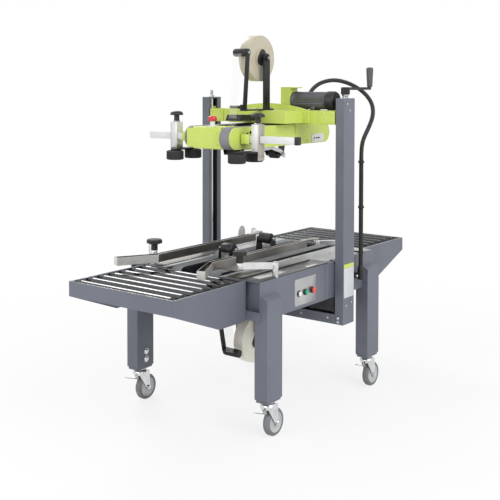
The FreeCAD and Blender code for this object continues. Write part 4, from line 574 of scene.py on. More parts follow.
def fit(
    name: str,
    shape: Shape,
    finish: Finish,
    body: str | None,
    replaces: Sequence[str] = (),
    crease: float = 38.0,
    slot: str = "",
) -> bpy.types.Object:
    """Makes a piece at the origin, with its place in its mesh, and lets it ride on a body.

    Args:
        name: The piece's name.
        shape: Its surface in millimetres.
        finish: Its finish.
        body: The body that carries it, or None for a piece that rides on no body.
        replaces: Nodes that it stands for.
        crease: Edges that turn more than this angle stay sharp.
        slot: The record's material slot, where it isn't the finish's own. Not used.

    Returns:
        The object.
    """
    mesh = bpy.data.meshes.new(name)
    mesh.from_pydata((shape.points * METRES).tolist(), [], shape.faces)
    tidy = bmesh.new()
    tidy.from_mesh(mesh)
    bmesh.ops.remove_doubles(tidy, verts=tidy.verts, dist=DOUBLES)
    bmesh.ops.dissolve_degenerate(tidy, edges=tidy.edges, dist=SLIVERS)
    bmesh.ops.recalc_face_normals(tidy, faces=tidy.faces)
    tidy.to_mesh(mesh)
    tidy.free()
    mesh.shade_smooth()
    mesh.set_sharp_from_angle(angle=math.radians(crease))
    mesh.materials.append(finish.make())
    piece = bpy.data.objects.new(name, mesh)
    bpy.context.scene.collection.objects.link(piece)
    if body:
        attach(piece, body)
    slot = slot or finish.slot
    if replaces:
        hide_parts(*replaces)
    LOG.info("%s: %d faces on %s", name, len(mesh.polygons), body)
    return piece


def dress(node: str, finish: Finish, edge: float = 1.0) -> None:
    """Gives a node its finish, and its sharp edges a small rounding that catches the light.

    Args:
        node: The node's name.
        finish: Its finish.
        edge: The rounding in millimetres; zero leaves the edges.
    """
    piece = frame["nodes"][node]
    piece.data.materials.clear()
    piece.data.materials.append(finish.make())
    if edge:
        weld = piece.modifiers.new("weld", "WELD")
        weld.merge_threshold = WELD_GAP
        flat = piece.modifiers.new("flat", "DECIMATE")
        flat.decimate_type = "DISSOLVE"
        flat.angle_limit = math.radians(FLAT_ANGLE)
        bevel = piece.modifiers.new("edge", "BEVEL")
        bevel.width = edge * METRES
        bevel.segments = 2
        bevel.limit_method = "ANGLE"
        bevel.angle_limit = math.radians(BEVEL_ANGLE)
        bevel.harden_normals = False
        bevel.use_clamp_overlap = True


# Small shared forms


def hexagon(angle: np.ndarray) -> np.ndarray:
    """Turns a circle into a hexagon: cos 30 over the cosine of the angle from the nearest flat."""
    return math.cos(math.pi / 6) / np.cos(angle % (math.pi / 3) - math.pi / 6)


def ribs(count: int, depth: float) -> Lobes:
    """A factor round a circle: one less half the depth times (1 - cosine of count angles)."""
    return lambda angle: 1 - depth * (0.5 - 0.5 * np.cos(count * angle))


class Way(Enum):
    """The direction in which a small piece's own z axis points."""

    FRONT = (Along.X, -1)
    REAR = (Along.X, 1)
    NEAR = (Along.Y, -1)
    FAR = (Along.Y, 1)
    DOWN = (Along.Z, -1)
    UP = (Along.Z, 1)

    def point(self, shape: Shape) -> Shape:
        """The shape laid so that its z axis points this way."""
        along, sign = self.value
        return (shape if sign > 0 else shape.turned(180, Along.X)).lying(along)


class Head(Enum):
    """Profiles of screw heads, as radius and height in thread radii."""

    HEX = ((0, 0.4), (1.85, 0.4), (1.85, 1.5), (1.6, 1.75), (0, 1.75))
    SOCKET = ((0, 0.4), (1.5, 0.4), (1.5, 1.9), (1.35, 2.1), (0.85, 2.1), (0.8, 1.1), (0, 1.1))
    PAN = ((0, 0.2), (1.8, 0.2), (1.75, 0.65), (1.4, 1.05), (0.7, 1.3), (0, 1.35))


def screws(head: Head, thread: float, way: Way, places: Sequence[Point]) -> Shape:
    """Screw heads on washers.

    Args:
        head: The form of the heads.
        thread: The radius of the thread in millimetres.
        way: Where the heads point.
        places: The points where the washers sit.

    Returns:
        All of them as one surface.
    """
    rows = [(radius * thread, height * thread) for radius, height in head.value]
    top = lathed(rows, 12, hexagon if head is Head.HEX else None)
    rim, thick = 2.1 * thread, 0.4 * thread
    washer = lathed([(0, 0), (rim, 0), (rim, thick), (0, thick)], 16)
    return union([way.point(washer + top).at(*place) for place in places])


def ring(inner: float, outer: float, low: float, high: float, steps: int = 32, edge: float = 0.6) -> Shape:
    """A flat ring of square section with chamfered outer edges."""
    return lathed([(inner, low), (outer - edge, low), (outer, low + edge), (outer, high - edge),
                   (outer - edge, high), (inner, high)], steps, loop=True)


def drum(radius: float, low: float, high: float, steps: int = 32, edge: float = 1.0) -> Shape:
    """A closed drum with chamfered rims about its own z axis."""
    return lathed([(0, low), (radius - edge, low), (radius, low + edge), (radius, high - edge),
                   (radius - edge, high), (0, high)], steps)


def threaded(low: float, high: float, crest: float, root: float, pitch: float) -> Shape:
    """A single-start trapezoid thread: with t the share of a turn that is left after height over
    pitch less angle over a full turn, the radius is the root plus the clipped wave
    1 + 1.6 cos(2 pi t), halved, times the thread's depth.

    Args:
        low: The lower end.
        high: The upper end.
        crest: The radius of the crests.
        root: The radius of the roots.
        pitch: The rise of one turn.

    Returns:
        The surface, closed at both ends.
    """
    rows_a_turn, steps = 6, 12
    height = np.linspace(low, high, int((high - low) / pitch) * rows_a_turn)[:, None]
    angle = np.linspace(0, 2 * np.pi, steps, endpoint=False)[None, :]
    wave = np.clip(0.5 + 0.8 * np.cos(2 * np.pi * height / pitch - angle), 0, 1)
    radius = root + (crest - root) * wave
    points = [radius * np.cos(angle), radius * np.sin(angle), height + 0 * radius]
    return grid(np.stack(points, -1), caps=True)


def ribbon(path: Sequence[Pair], half: float, thick: float) -> Shape:
    """A flat film across the middle plane: the path in x and z, shifted to both sides by half
    the thickness along its normal, and carried from -half to +half in y.

    Args:
        path: Points of the film's middle line as x and z.
        half: Half its width.
        thick: Its thickness.

    Returns:
        The closed surface.
    """
    line = np.array(path, float)
    ahead = np.gradient(line, axis=0)
    ahead /= np.linalg.norm(ahead, axis=1)[:, None]
    normal = np.stack([-ahead[:, 1], ahead[:, 0]], 1) * thick / 2
    outline = [(line + normal, -half), (line + normal, half), (line - normal, half), (line - normal, -half)]
    rows = [np.column_stack([side[:, 0], np.full(len(side), y), side[:, 1]]) for side, y in outline]
    return grid(np.stack(rows, 1), caps=True)


# The finish of each node and the rounding of its edges in millimetres.
Dressing = dict[str, tuple[Finish, float]]


@dataclass
class Assembly:
    """A sub-assembly: the nodes that it dresses, and the pieces that it adds."""

    def nodes(self) -> Dressing:
        """The finish of each node and the rounding of its edges in millimetres."""
        return {}

    def pieces(self) -> None:
        """Adds the pieces."""

    def build(self) -> None:
        """Dresses the nodes, then adds the pieces."""
        LOG.info("%s", type(self).__name__)
        for node, (finish, edge) in self.nodes().items():
            dress(node, finish, edge)
        self.pieces()


# Sub-assemblies


@dataclass
class Bed(Assembly):
    """The painted bed on its legs, with top plates, belts, cross channel and lower drive."""

    side: float = -extent("control_panel").high[Y]
    edge: float = 386.0
    fold: float = 274.0
    belt_slot: float = 196.0
    top: float = extent("bed_frame").high[Z]
    plate_top: float = extent("bed_top_plates").high[Z]
    front: float = -506.0
    mast_front: float = 62.0
    mast_rear: float = 104.0
    rear: float = 500.0
    leg_x: float = 440.0
    leg_inner: float = 354.0
    channel_face: float = extent("cross_channel").low[X]
    front_screws: tuple[float, ...] = (-470.0, -300.0, -130.0, 40.0)
    rear_screws: tuple[float, ...] = (105.0, 290.0, 480.0)
    channel_screws: tuple[float, ...] = (-354.0, -200.0, 0.0, 200.0, 354.0)

    def nodes(self) -> Dressing:
        """Painted frame, ground top, rough belts and the enamelled drive."""
        return {
            "bed_frame": (FRAME_PAINT, 0.8),
            "legs": (FRAME_PAINT, 1.5),
            "cross_channel": (FRAME_PAINT, 0.8),
            "bed_top_plates": (BED_SHEET, 0.5),
            "bottom_belt_frames": (BLACK_STEEL, 0.5),
            "bottom_belts": (BELT, 0.8),
            "lower_drive": (MOTOR_PAINT, 1.0),
        }

    def pieces(self) -> None:
        """Screws and sheets of the bed."""
        rows = [(x, side * y, self.top) for side in (-1, 1) for x in self.front_screws for y in (186, 258)]
        rows += [(x, side * y, self.plate_top)
                 for x in self.rear_screws for side in (-1, 1) for y in (256, 350)]
        fit("top_plate_screws", screws(Head.PAN, 3, Way.UP, rows), ZINC, "root")
        cover = block((31, -self.side - 1.2, 534), (107, -self.side, 701), 0.5)
        fit("side_cover_plates", cover.both_sides(), FRAME_PAINT, "root")
        feet = [(side * self.leg_x, -self.leg_inner, z) for side in (-1, 1) for z in (214, 252)]
        fit("foot_screws", screws(Head.PAN, 7.5, Way.FAR, feet).both_sides(), CHROME, "root")
        ends = [(self.channel_face, y, z) for y in (-414, 414) for z in (411, 429)]
        middle = [(self.channel_face, y, 424) for y in self.channel_screws]
        channel = screws(Head.HEX, 4, Way.FRONT, ends) + screws(Head.PAN, 3, Way.FRONT, middle)
        fit("channel_screws", channel, ZINC, "root")
        panels = union([block((x - 2, 262, 533), (x + 2, 384.6, 701.6), 0.5) for x in (-480, 480)])
        fit("bed_end_panels", panels.both_sides(), FRAME_PAINT, "root")
        self.channels()
        bolts = screws(Head.SOCKET, 3, Way.DOWN, [(x, y, 455) for x in (130, 210) for y in (-372, -252)])
        fit("gearbox_screws", bolts, ZINC, "root")

    def strip(self, x: Pair, y: Pair, z: Pair, edge: float) -> Shape:
        """A strip on the near side of the bed top.

        Args:
            x: Its ends along x.
            y: The distances of its outer and inner edge from the middle plane.
            z: Its lower and upper height above the bed top.
            edge: The radius of its edges.

        Returns:
            The strip.
        """
        return block((x[0], -y[0], self.top + z[0]), (x[1], -y[1], self.top + z[1]), edge)

    def channels(self) -> None:
        """The dark folded channels along both edges of the bed top, with light strips, one of them a
        painted reflection.
        """
        front, rear = (self.front, self.mast_front), (self.mast_rear, self.rear)
        base = self.strip(front, (self.edge, self.fold), (0, 1.2), 0.4)
        base += self.strip(front, (self.edge, self.edge - 2.5), (1, 4), 0.5)
        base += self.strip(front, (self.fold + 3, self.fold), (1, 4.5), 0.5)
        base += self.strip(rear, (self.edge, self.edge - 18), (0, 1.2), 0.4)
        fit("edge_channels", base.both_sides(), DARK_CHANNEL, "root")
        cover = self.strip(front, (self.fold - 2, self.belt_slot), (2, 2.8), 0.3)
        fit("edge_plates", cover.both_sides(), POLISHED, "root")
        # The strip from x -99 to -7 paints a reflection on the channel; the one behind the mast is the
        # channel's upturned edge.
        strips = self.strip((-99, -7), (372, 352), (1, 4), 0.6)
        strips += self.strip((self.mast_rear, 134), (366, 362), (2, 7), 0.6)
        strips += self.strip((-450, -250), (350, 300), (1.1, 2.4), 0.5)
        fit("edge_and_reflection_strips", strips.both_sides(), EDGE_STEEL, "root")


@dataclass
class RollerTable(Assembly):
    """One roller table: frame, rollers with black bearing caps, and a black sheet below them that paints
    the shade between the rollers.
    """

    name: str = "infeed"
    sign: int = -1
    tube: Finish = ROLLER_ZINC
    first: float = 956.0
    last: float = 531.2
    count: int = 7
    level: float = 684.0
    tube_end: float = 262.0
    outer: float = 986.0
    inner: float = 512.0
    shade_sheet_half: float = 301.0
    rim: float = 303.5
    rim_inner: float = 304.4
    rim_top: float = extent("infeed_table_frame").high[Z]
    edge_thick: float = 0.8

    def nodes(self) -> Dressing:
        """Painted frame and plated rollers."""
        return {f"{self.name}_table_frame": (FRAME_PAINT, 0.8), f"{self.name}_rollers": (self.tube, 0.0)}

    def pieces(self) -> None:
        """Bearing caps, the black sheet of painted shade, the sides' liners and the light edges of the rim.
        """
        cap = lathed([(12.1, -0.5), (18.9, -0.5), (19.2, 1), (19.2, 5), (17.4, 7), (15.5, 24), (12.1, 24)],
                     20, loop=True)
        stations = [self.sign * x for x in np.linspace(self.first, self.last, self.count)]
        caps = union([Way.FAR.point(cap).at(x, self.tube_end, self.level) for x in stations])
        fit(f"{self.name}_roller_caps", caps.both_sides(), NYLON, "root")
        start, end = sorted((self.sign * self.outer, self.sign * self.inner))
        # A black rubber sheet under the rollers: painted shade for the dark gaps between them.
        shade_sheet = block((start, -self.shade_sheet_half, 640.2), (end, self.shade_sheet_half, 642.5), 0.8)
        fit(f"{self.name}_painted_shade_sheet", shade_sheet, RUBBER, "root")
        liner = block((start + 2, -self.rim + 0.2, 664), (end - 2, -self.shade_sheet_half + 0.5, 699.2), 0.8)
        fit(f"{self.name}_table_liners", liner.both_sides(), FRAME_PAINT, "root")
        low, high = self.rim_top, self.rim_top + self.edge_thick
        rim = block((start + 4, -self.rim_inner - 2.2, low), (end - 2, -self.rim_inner, high), 0.3)
        start, end = sorted((self.sign * (self.outer + 4.6), self.sign * (self.outer + 2.8)))
        rims = rim.both_sides() + block((start, -self.rim_inner, low), (end, self.rim_inner, high), 0.3)
        fit(f"{self.name}_rim_edges", rims, EDGE_STEEL, "root")


@dataclass
class Caster(Assembly):
    """One swivel caster: chromed fork, thin brake pedal and a grey rubber wheel on its hub."""

    where: str = "near_infeed"
    cheek: float = 21.4
    top: float = 147.0

    @property
    def place(self) -> Pair:
        """Where the axis of the swivel stands, as x and y."""
        return pivot(f"{self.where}_swivel")[:2]

    @property
    def axle(self) -> Point:
        """The middle of the wheel."""
        return pivot(f"{self.where}_roll")

    def nodes(self) -> Dressing:
        """Rubber wheel."""
        return {f"{self.where}_caster_wheel": (WHEEL_RUBBER, 0.8)}

    def fork(self) -> Shape:
        """The rounded swivel housing, two cheeks, the crown between them and the axle, drawn
        about the axis of the swivel."""
        x, _, z = self.axle
        outline = [(26, 58), (32, 49.8), (44, 49.8), (51, 57), (51, 68), (47, 110), (45, self.top),
                   (-24, self.top), (-27, 143), (-25, 131)]
        cheek = plate(outline, 2.6, 0.7).turned(90, Along.X)
        housing = lathed([(0, 131.5), (33, 131.5), (36, 133.5), (37.5, 139), (37, 147), (34, 153.5),
                          (29, 157.5), (24, 160), (24, 162.6), (0, 162.6)], 40)
        crown = block((-25, -20.6, self.top - 3.4), (45.5, 20.6, self.top), 1.2)
        pin = drum(5.9, -self.cheek, self.cheek, 20).lying(Along.Y).at(x - self.place[X], 0, z)
        return cheek.at(y=self.cheek) + cheek.at(y=2.7 - self.cheek) + housing + crown + pin

    def pedal(self) -> Shape:
        """The brake pedal, a thin sheet that rises to its rolled tip."""
        side = [(-105.6, 139.6), (-103.6, 137.2), (-34, 114.6), (-22, 114.6), (-22, 134), (-25, 134),
                (-25, 117.6), (-33.5, 117.6), (-102.8, 140.1), (-104.4, 142)]
        return plate(side, 18, 0.3).turned(90, Along.X).at(y=9)

    def pieces(self) -> None:
        """The fork in place of its node, the pedal and the wheel's discs."""
        body = f"{self.where}_fork"
        x, y, z = self.axle
        fork = self.fork().at(*self.place)
        for way, side in ((Way.NEAR, -1), (Way.FAR, 1)):
            fork += screws(Head.HEX, 5, way, [(x, y + side * self.cheek, z)])
        fit(body, fork, CHROME, body, [f"{self.where}_caster_fork"])
        fit(f"{self.where}_pedal", self.pedal().at(*self.place), SILVER_STEEL, body)
        disc = lathed([(16.2, 10.8), (16.2, 15.6), (20, 15.2), (23, 12.6), (39, 12.2), (42, 14.8),
                       (46.9, 14.8), (46.9, 10.8)], 40, loop=True)
        discs = disc.lying(Along.Y).both_sides().at(x, y, z)
        fit(f"{self.where}_wheel_discs", discs, WHEEL_HUB, f"{self.where}_wheel")


@dataclass
class Masts(Assembly):
    """Both masts with their caps, threaded lifting screws and the bare plate."""

    x: float = pivot("far_screw_turn")[X]
    y: float = pivot("far_screw_turn")[Y]
    outer: float = extent("masts").high[Y]
    cap: float = extent("masts").high[Z]
    cap_half: float = 50.0
    low: float = 401.4
    foot: float = 447.0
    plate_x: Pair = (116.0, 209.0)
    plate_thick: float = 1.1

    def nodes(self) -> Dressing:
        """Painted masts and zinc plates above the casters."""
        return {"masts": (FRAME_PAINT, 0.8), "caster_plates": (ZINC, 0.5)}

    def screw(self, name: str, y: float, high: float) -> None:
        """One lifting screw with its sprocket and collar, in place of its node."""
        shape = threaded(self.low, high, 8.98, 7.7, 5.0)
        shape += drum(10.9, 416.2, 421.8, 16) + ring(8.6, 14, self.cap + 0.4, self.cap + 10.9, 28, 1.2)
        shape += drum(7.4, high - 1, high, 16)
        body = f"{name}_screw"
        fit(f"{name}_lifting_screw", shape.at(self.x, y), SCREW_STEEL, body, [body])

    def front_plate(self, low: float, high: float) -> Shape:
        """A thin plate on the near mast's outer face, from low to high."""
        left, right = self.plate_x
        return block((left, -self.outer - self.plate_thick, low), (right, -self.outer, high), 0.3)

    def pieces(self) -> None:
        """Screws, cap sheets, the plain plate on the near mast, light strips beside the slots, and black
        sheets of painted shade inside the masts.
        """
        self.screw("near", -self.y, 1522)
        self.screw("far", self.y, 1541)
        high = [(x, -self.outer, z) for x, z in ((140, 1476), (165, 1444))]
        low = [(x, -self.outer, z) for x, z in ((136, 490), (188, 500))]
        side = screws(Head.PAN, 3.5, Way.NEAR, high) + screws(Head.PAN, 3, Way.NEAR, low)
        fit("mast_side_screws", side, ZINC, "root")
        left, right = self.x - self.cap_half, self.x + self.cap_half
        cap = block((left, -439, self.cap), (right, -397, self.cap + 1.2), 0.4)
        fit("mast_cap_sheets", cap.both_sides(), ZINC, "root")
        fit("plain_plate", self.front_plate(529, 674), PALE_PLATE, "root")
        fit("plain_plate_band", self.front_plate(674.4, 694), LIME_PAINT, "root")
        strips = block((131, -395, self.foot), (141, -393.8, 1496), 0.3)
        fit("mast_slot_strips", strips.both_sides(), EDGE_STEEL, "root")
        # Black sheets inside the masts, seen through the slots: painted shade of their hollows.
        back = block((114, -436.9, self.foot), (208, -436.2, 1490), 0.2)
        fit("mast_painted_shade_sheets", back.both_sides(), NYLON, "root")


@dataclass
class LiftingHead(Assembly):
    """The crossbeam with its covers, belt units, emergency stop and end brackets."""

    beam_front: float = extent("head_beam").low[X]
    beam_rear: float = extent("head_beam").high[X]
    box_top: float = extent("top_box").high[Z]
    unit_face: float = 149.3
    stop: Pair = (-376.0, -15.0)
    nose_top: float = extent("front_cover").high[Z]
    nose_front: float = extent("front_cover").low[X]
    nose_screws: Pair = (-62.0, 62.0)
    tension_pin: Pair = (301.0, 1294.0)

    def nodes(self) -> Dressing:
        """Lime painted sheet and rough belts."""
        return {
            "head_beam": (LIME_PAINT, 0.8),
            "arch_cover": (LIME_PAINT, 0.8),
            "top_box": (LIME_PAINT, 0.8),
            "front_cover": (LIME_PAINT, 0.0),
            "belt_unit_frames": (LIME_PAINT, 0.8),
            "top_belts": (BELT, 0.8),
        }

    def stop_button(self) -> None:
        """The emergency stop: a bright collar under a red mushroom."""
        x, y = self.stop
        collar = lathed([(0, 0), (15.5, 0), (16, 1), (16, 5), (12, 6.5), (12, 27), (13.5, 28), (0, 28)], 28)
        fit("stop_collar", collar.at(x, y, self.nose_top), WHITE_BAR, "head", crease=30)
        cap = lathed([(0, 28), (18.5, 28), (21.5, 30), (22, 34), (21.5, 42), (19.5, 47), (15, 50.6),
                      (8, 52), (0, 52)], 36)
        fit("stop_button", cap.at(x, y, self.nose_top), STOP_RED, "head", ["emergency_stop"], crease=50)

    def side_plates(self) -> None:
        """Fittings on the belt units' outer plates: screws, and the tension plate with its slot."""
        face, (x, z) = self.unit_face, self.tension_pin
        spots = [(across, -face, height) for across in (-160, 40, 240) for height in (1283, 1357)]
        fit("unit_side_screws", screws(Head.PAN, 2.5, Way.NEAR, spots).both_sides(), LIME_PAINT, "head")
        outline = [(279, 1273), (392, 1273), (397, 1279), (397, 1309), (391, 1315), (285, 1315),
                   (279, 1308)]
        tag = plate(outline, 2.2, 0.4).turned(90, Along.X).at(y=-face)
        tag += ring(5, 9, 0, 1.4, 20, 0.4).turned(90, Along.X).at(x, -face - 2.2, z)
        fit("tension_plate", tag, WHITE_BAR, "head")
        slot = block((318, -face - 3.2, 1290.5), (356, -face - 2.0, 1296.5), 0.5)
        slot += drum(4.6, 0, 1.6, 16, 0.3).turned(90, Along.X).at(x, -face - 2.2, z)
        fit("tension_slot", slot, BLACK_STEEL, "head")

    def cover_screws(self) -> None:
        """Screws of the beam's end brackets, of the top box, the beam's back and the nose."""
        spots = [(self.beam_front, side * y, z)
                 for side in (-1, 1) for y in (322, 374) for z in (1390, 1428)]
        fit("bracket_screws", screws(Head.PAN, 2.8, Way.FRONT, spots), LIME_PAINT, "head")
        box = [(x, y, self.box_top) for x in (-30, 80) for y in (-192, -120)]
        back = [(self.beam_rear, y, z) for y in (-300, -100, 100, 300) for z in (1392, 1426)]
        covers = screws(Head.PAN, 2.5, Way.UP, box) + screws(Head.PAN, 2.5, Way.REAR, back)
        fit("cover_screws", covers, ZINC, "head")
        face = [(self.nose_front, y, z) for y in self.nose_screws for z in (1292, 1348)]
        roof = [(-280, y, self.nose_top) for y in self.nose_screws]
        nose = screws(Head.PAN, 2.5, Way.FRONT, face) + screws(Head.PAN, 2.5, Way.UP, roof)
        fit("nose_screws", nose, LIME_PAINT, "head")

    def pieces(self) -> None:
        """All fittings of the head."""
        self.stop_button()
        self.side_plates()
        self.cover_screws()


@dataclass
class BeltMotor(Assembly):
    """The belt motor: ribbed grey shell, black fan cover, feet and terminal box."""

    x: float = 160.0
    z: float = 1491.0
    near: float = -324.0
    far: float = -123.0
    fan_end: float = extent("head_motor").low[Y]
    foot: float = extent("head_motor").low[Z] + 0.2
    gland: Pair = (257.0, -132.0)

    def shell(self) -> Shape:
        """The shell with its lengthwise ribs, and plain end shields."""
        length = self.far - self.near
        body = lathed([(0, 6), (43.6, 6), (43.6, length - 14), (0, length - 14)], 192, ribs(32, 0.05))
        body += drum(44.5, 0, 7, 48) + drum(45.6, length - 16, length, 48, 1.5)
        return body.lying(Along.Y).at(self.x, self.near, self.z)

    def fan(self) -> Shape:
        """The fan cover with the rings of its grille."""
        length = self.near - self.fan_end
        rows = [(0, length), (46.8, length), (46.8, 12), (43, 4.5), (35.2, 0.4)]
        for radius in (30.0, 22.0, 14.0):
            rows += [(radius + 3.6, 0.4), (radius + 3.2, 3.4), (radius + 0.6, 3.4), (radius, 0.4)]
        rows += [(6, 0.4), (0, 0.4)]
        return lathed(rows, 48).lying(Along.Y).at(self.x, self.fan_end, self.z)

    def pieces(self) -> None:
        """All parts of the motor in place of its node."""
        fit("motor_shell", self.shell(), MOTOR_SILVER, "head", ["head_motor"], crease=30)
        fit("motor_fan_cover", self.fan(), NYLON, "head")
        feet = union([block((self.x - 30, y - 14, self.foot), (self.x + 30, y + 14, 1468), 3)
                      for y in (-246, -172)])
        fit("motor_feet", feet, MOTOR_SILVER, "head")
        box = block((self.x + 28, -160, 1449), (self.x + 109.5, -100, 1479), 4, 4)
        box += block((self.x + 38, -157, 1478), (self.x + 78, -103, 1481), 1.2)
        fit("terminal_box", box, NYLON, "head")
        nut = lathed([(11.2, 1478.6), (16, 1478.6), (16, 1486), (11.2, 1487)], 12, hexagon, loop=True)
        nut += ring(11.2, 13.6, 1486, 1493, 24, 1.6)
        fit("cable_gland", nut.at(*self.gland), NYLON, "head")
        lid = screws(Head.SOCKET, 2.5, Way.UP, [(x, y, 1480.6) for x in (203, 233) for y in (-150, -110)])
        fit("terminal_screws", lid, ZINC, "head")


@dataclass
class TapeHeads(Assembly):
    """Both tape heads with their arms, rollers and covers, and the film that each guides."""

    upper_sleeve: Pair = (-142.0, 1728.0)
    lower_sleeve: Pair = (-200.0, 256.0)
    upper_rollers: tuple[Pair, ...] = ((-192.0, 1240.0), (160.0, 1217.0))
    lower_rollers: tuple[Pair, ...] = ((-230.0, 770.0), (85.0, 783.0))
    face: float = 45.0
    sleeve_start: float = -43.0
    film_half: float = 24.0
    film_thick: float = 0.5

    def nodes(self) -> Dressing:
        """Blackened steel plates and arms, wound tape."""
        return {
            "upper_tape_head": (BLACK_STEEL, 0.5),
            "lower_tape_head": (BLACK_STEEL, 0.5),
            "upper_tape_arms": (BLACK_STEEL, 0.6),
            "lower_tape_arms": (BLACK_STEEL, 0.6),
            "upper_tape_roll": (UPPER_TAPE, 0.6),
            "lower_tape_roll": (LOWER_TAPE_LIT, 0.6),
        }

    def hub(self, body: str, centre: Pair, tape: Finish) -> None:
        """A roll's black flange with three lobes and its hub ring, and the edges of the tape.

        Args:
            body: The roll's body.
            centre: The roll's axis as x and z.
            tape: The tape's finish.
        """
        x, z = centre
        lobed = lathed([(8.2, 0), (44, 0), (46, 1.5), (46, 3.5), (30, 5.5), (22, 6.5), (22, 9), (8.2, 9)],
                       60, ribs(3, 0.22), loop=True)
        flange = Way.NEAR.point(lobed).at(x, -35, z)
        flange += ring(30, 37.9, 0, 5.8, 40).lying(Along.Y).at(x, 21, z)
        fit(f"{body}_hub", flange, NYLON, body)
        edge = ring(50, 114, 0, 0.5, 64, 0.2).lying(Along.Y)
        fit(f"{body}_edges", edge.at(x, 27.0, z) + edge.at(x, -27.5, z), tape, body)

    def sleeve(self, centre: Pair, length: float) -> Shape:
        """The ribbed rubber sleeve on an arm's roller."""
        rows = [(18.05, 0), (19.6, 1.5), (19.6, length - 2), (18.05, length)]
        x, z = centre
        return lathed(rows, 36, ribs(36, 0.03), loop=True).lying(Along.Y).at(x, self.sleeve_start, z)

    def film(self, path: Sequence[Pair]) -> Shape:
        """The film along a path of x and z."""
        return ribbon(path, self.film_half, self.film_thick)

    def upper(self) -> None:
        """Fittings of the upper arms: bolts, rubber sleeve, the base's screws, cover and film."""
        x, z = UPPER_ROLL
        sleeve_x, sleeve_z = self.upper_sleeve
        bolt = screws(Head.HEX, 4.5, Way.NEAR, [(x, -73, z)])
        bolt += screws(Head.HEX, 4, Way.NEAR, [(sleeve_x, -53, sleeve_z)])
        fit("upper_spindle_bolts", bolt, ZINC, "head")
        fit("upper_film_sleeve", self.sleeve(self.upper_sleeve, 72), RUBBER, "head")
        base = screws(Head.HEX, 4, Way.UP, [(x, -62, 1450.3) for x in (-150, -90, 36)])
        fit("arm_base_screws", base, ZINC, "head")
        wedge = plate([(-205, 1394), (-60, 1394), (-60, 1421), (-190, 1424)], 84, 1.5)
        fit("tape_sensor_cover", wedge.turned(90, Along.X).at(y=42), NYLON, "head")
        path = [(-160.6, 1722), (-163, 1700), (-178, 1560), (-196, 1440), (-212, 1250)]
        fit("upper_film", self.film(path), FILM, "head")

    def lower(self) -> None:
        """Fittings of the lower arms and the film."""
        x, z = LOWER_ROLL
        fit("lower_spindle_bolt", screws(Head.HEX, 7, Way.NEAR, [(x, -63.3, z)]), ZINC, "root")
        fit("lower_film_sleeve", self.sleeve(self.lower_sleeve, 84), RUBBER, "root")
        path = [(-196, 237.4), (-214, 244), (-219.6, 262), (-224, 330), (-244, 590), (-259, 768)]
        fit("lower_film", self.film(path), FILM, "root")

    def rollers(self) -> None:
        """Sleeves on the upper rollers, pin ends, covers on the lower rollers, and brackets."""
        (front_x, front_z), (rear_x, rear_z) = self.upper_rollers
        rubber = ring(22.05, 23.2, -24, 24, 36).lying(Along.Y).at(front_x, 0, front_z)
        rubber += ring(22.05, 27.5, -24, 24, 40, 2).lying(Along.Y).at(rear_x, 0, rear_z)
        fit("upper_tape_rollers", rubber, RUBBER, "head")
        for name, places, body in (("upper", self.upper_rollers, "head"),
                                   ("lower", self.lower_rollers, "root")):
            pins = screws(Head.SOCKET, 5, Way.NEAR, [(x, -self.face, z) for x, z in places])
            fit(f"{name}_pin_ends", pins.both_sides(), ZINC, body)
        covers = union([drum(radius, -34, 34, 36, 3).lying(Along.Y).at(x, 0, z)
                        for radius, (x, z) in zip((29, 27), self.lower_rollers)])
        fit("lower_roller_covers", covers, NYLON, "root")
        outline = [(-60, 1236), (-20, 1262), (60, 1262), (148, 1238), (185, 1214), (182, 1194), (166, 1196),
                   (140, 1222), (60, 1243), (-20, 1240)]
        arm = plate(outline, 2.4, 0.4).turned(90, Along.X)
        brackets = arm.at(y=-47.6) + arm.at(y=50)
        fit("rear_roller_brackets", brackets, SILVER_STEEL, "head", slot="stainless")

    def pieces(self) -> None:
        """All fittings of both heads."""
        self.hub("upper_roll", UPPER_ROLL, UPPER_TAPE)
        self.hub("lower_roll", LOWER_ROLL, LOWER_TAPE_LIT)
        self.upper()
        self.lower()
        self.rollers()


@dataclass(frozen=True)
class BarSection:
    """The section of the squeezers' bars: its faces along x and its heights."""

    front: float = -335.0
    rear: float = -308.0
    low: float = 1302.0
    high: float = 1335.0

    @property
    def middle(self) -> float:
        """The middle along x."""
        return (self.front + self.rear) / 2

    def stretch(
        self, start: float, end: float, grow: float = 0.0, edge: float = 1.5, steps: int = 3
    ) -> Shape:
        """A stretch along the bars.

        Args:
            start: Its nearer end along y.
            end: Its farther end.
            grow: How far it stands out of the section on every side.
            edge: The radius of its edges.
            steps: Points across each rounded quarter.

        Returns:
            The block.
        """
        low = (self.front - grow, start, self.low - grow)
        return block(low, (self.rear + grow, end, self.high + grow), edge, steps)


BAR = BarSection()


@dataclass
class PairedAssembly(Assembly):
    """A sub-assembly that is drawn on the far side and mirrored to make the near one."""

    name: str = "near"

    def side(self, shape: Shape) -> Shape:
        """The shape on this one's side."""
        return shape.mirrored() if self.name == "near" else shape


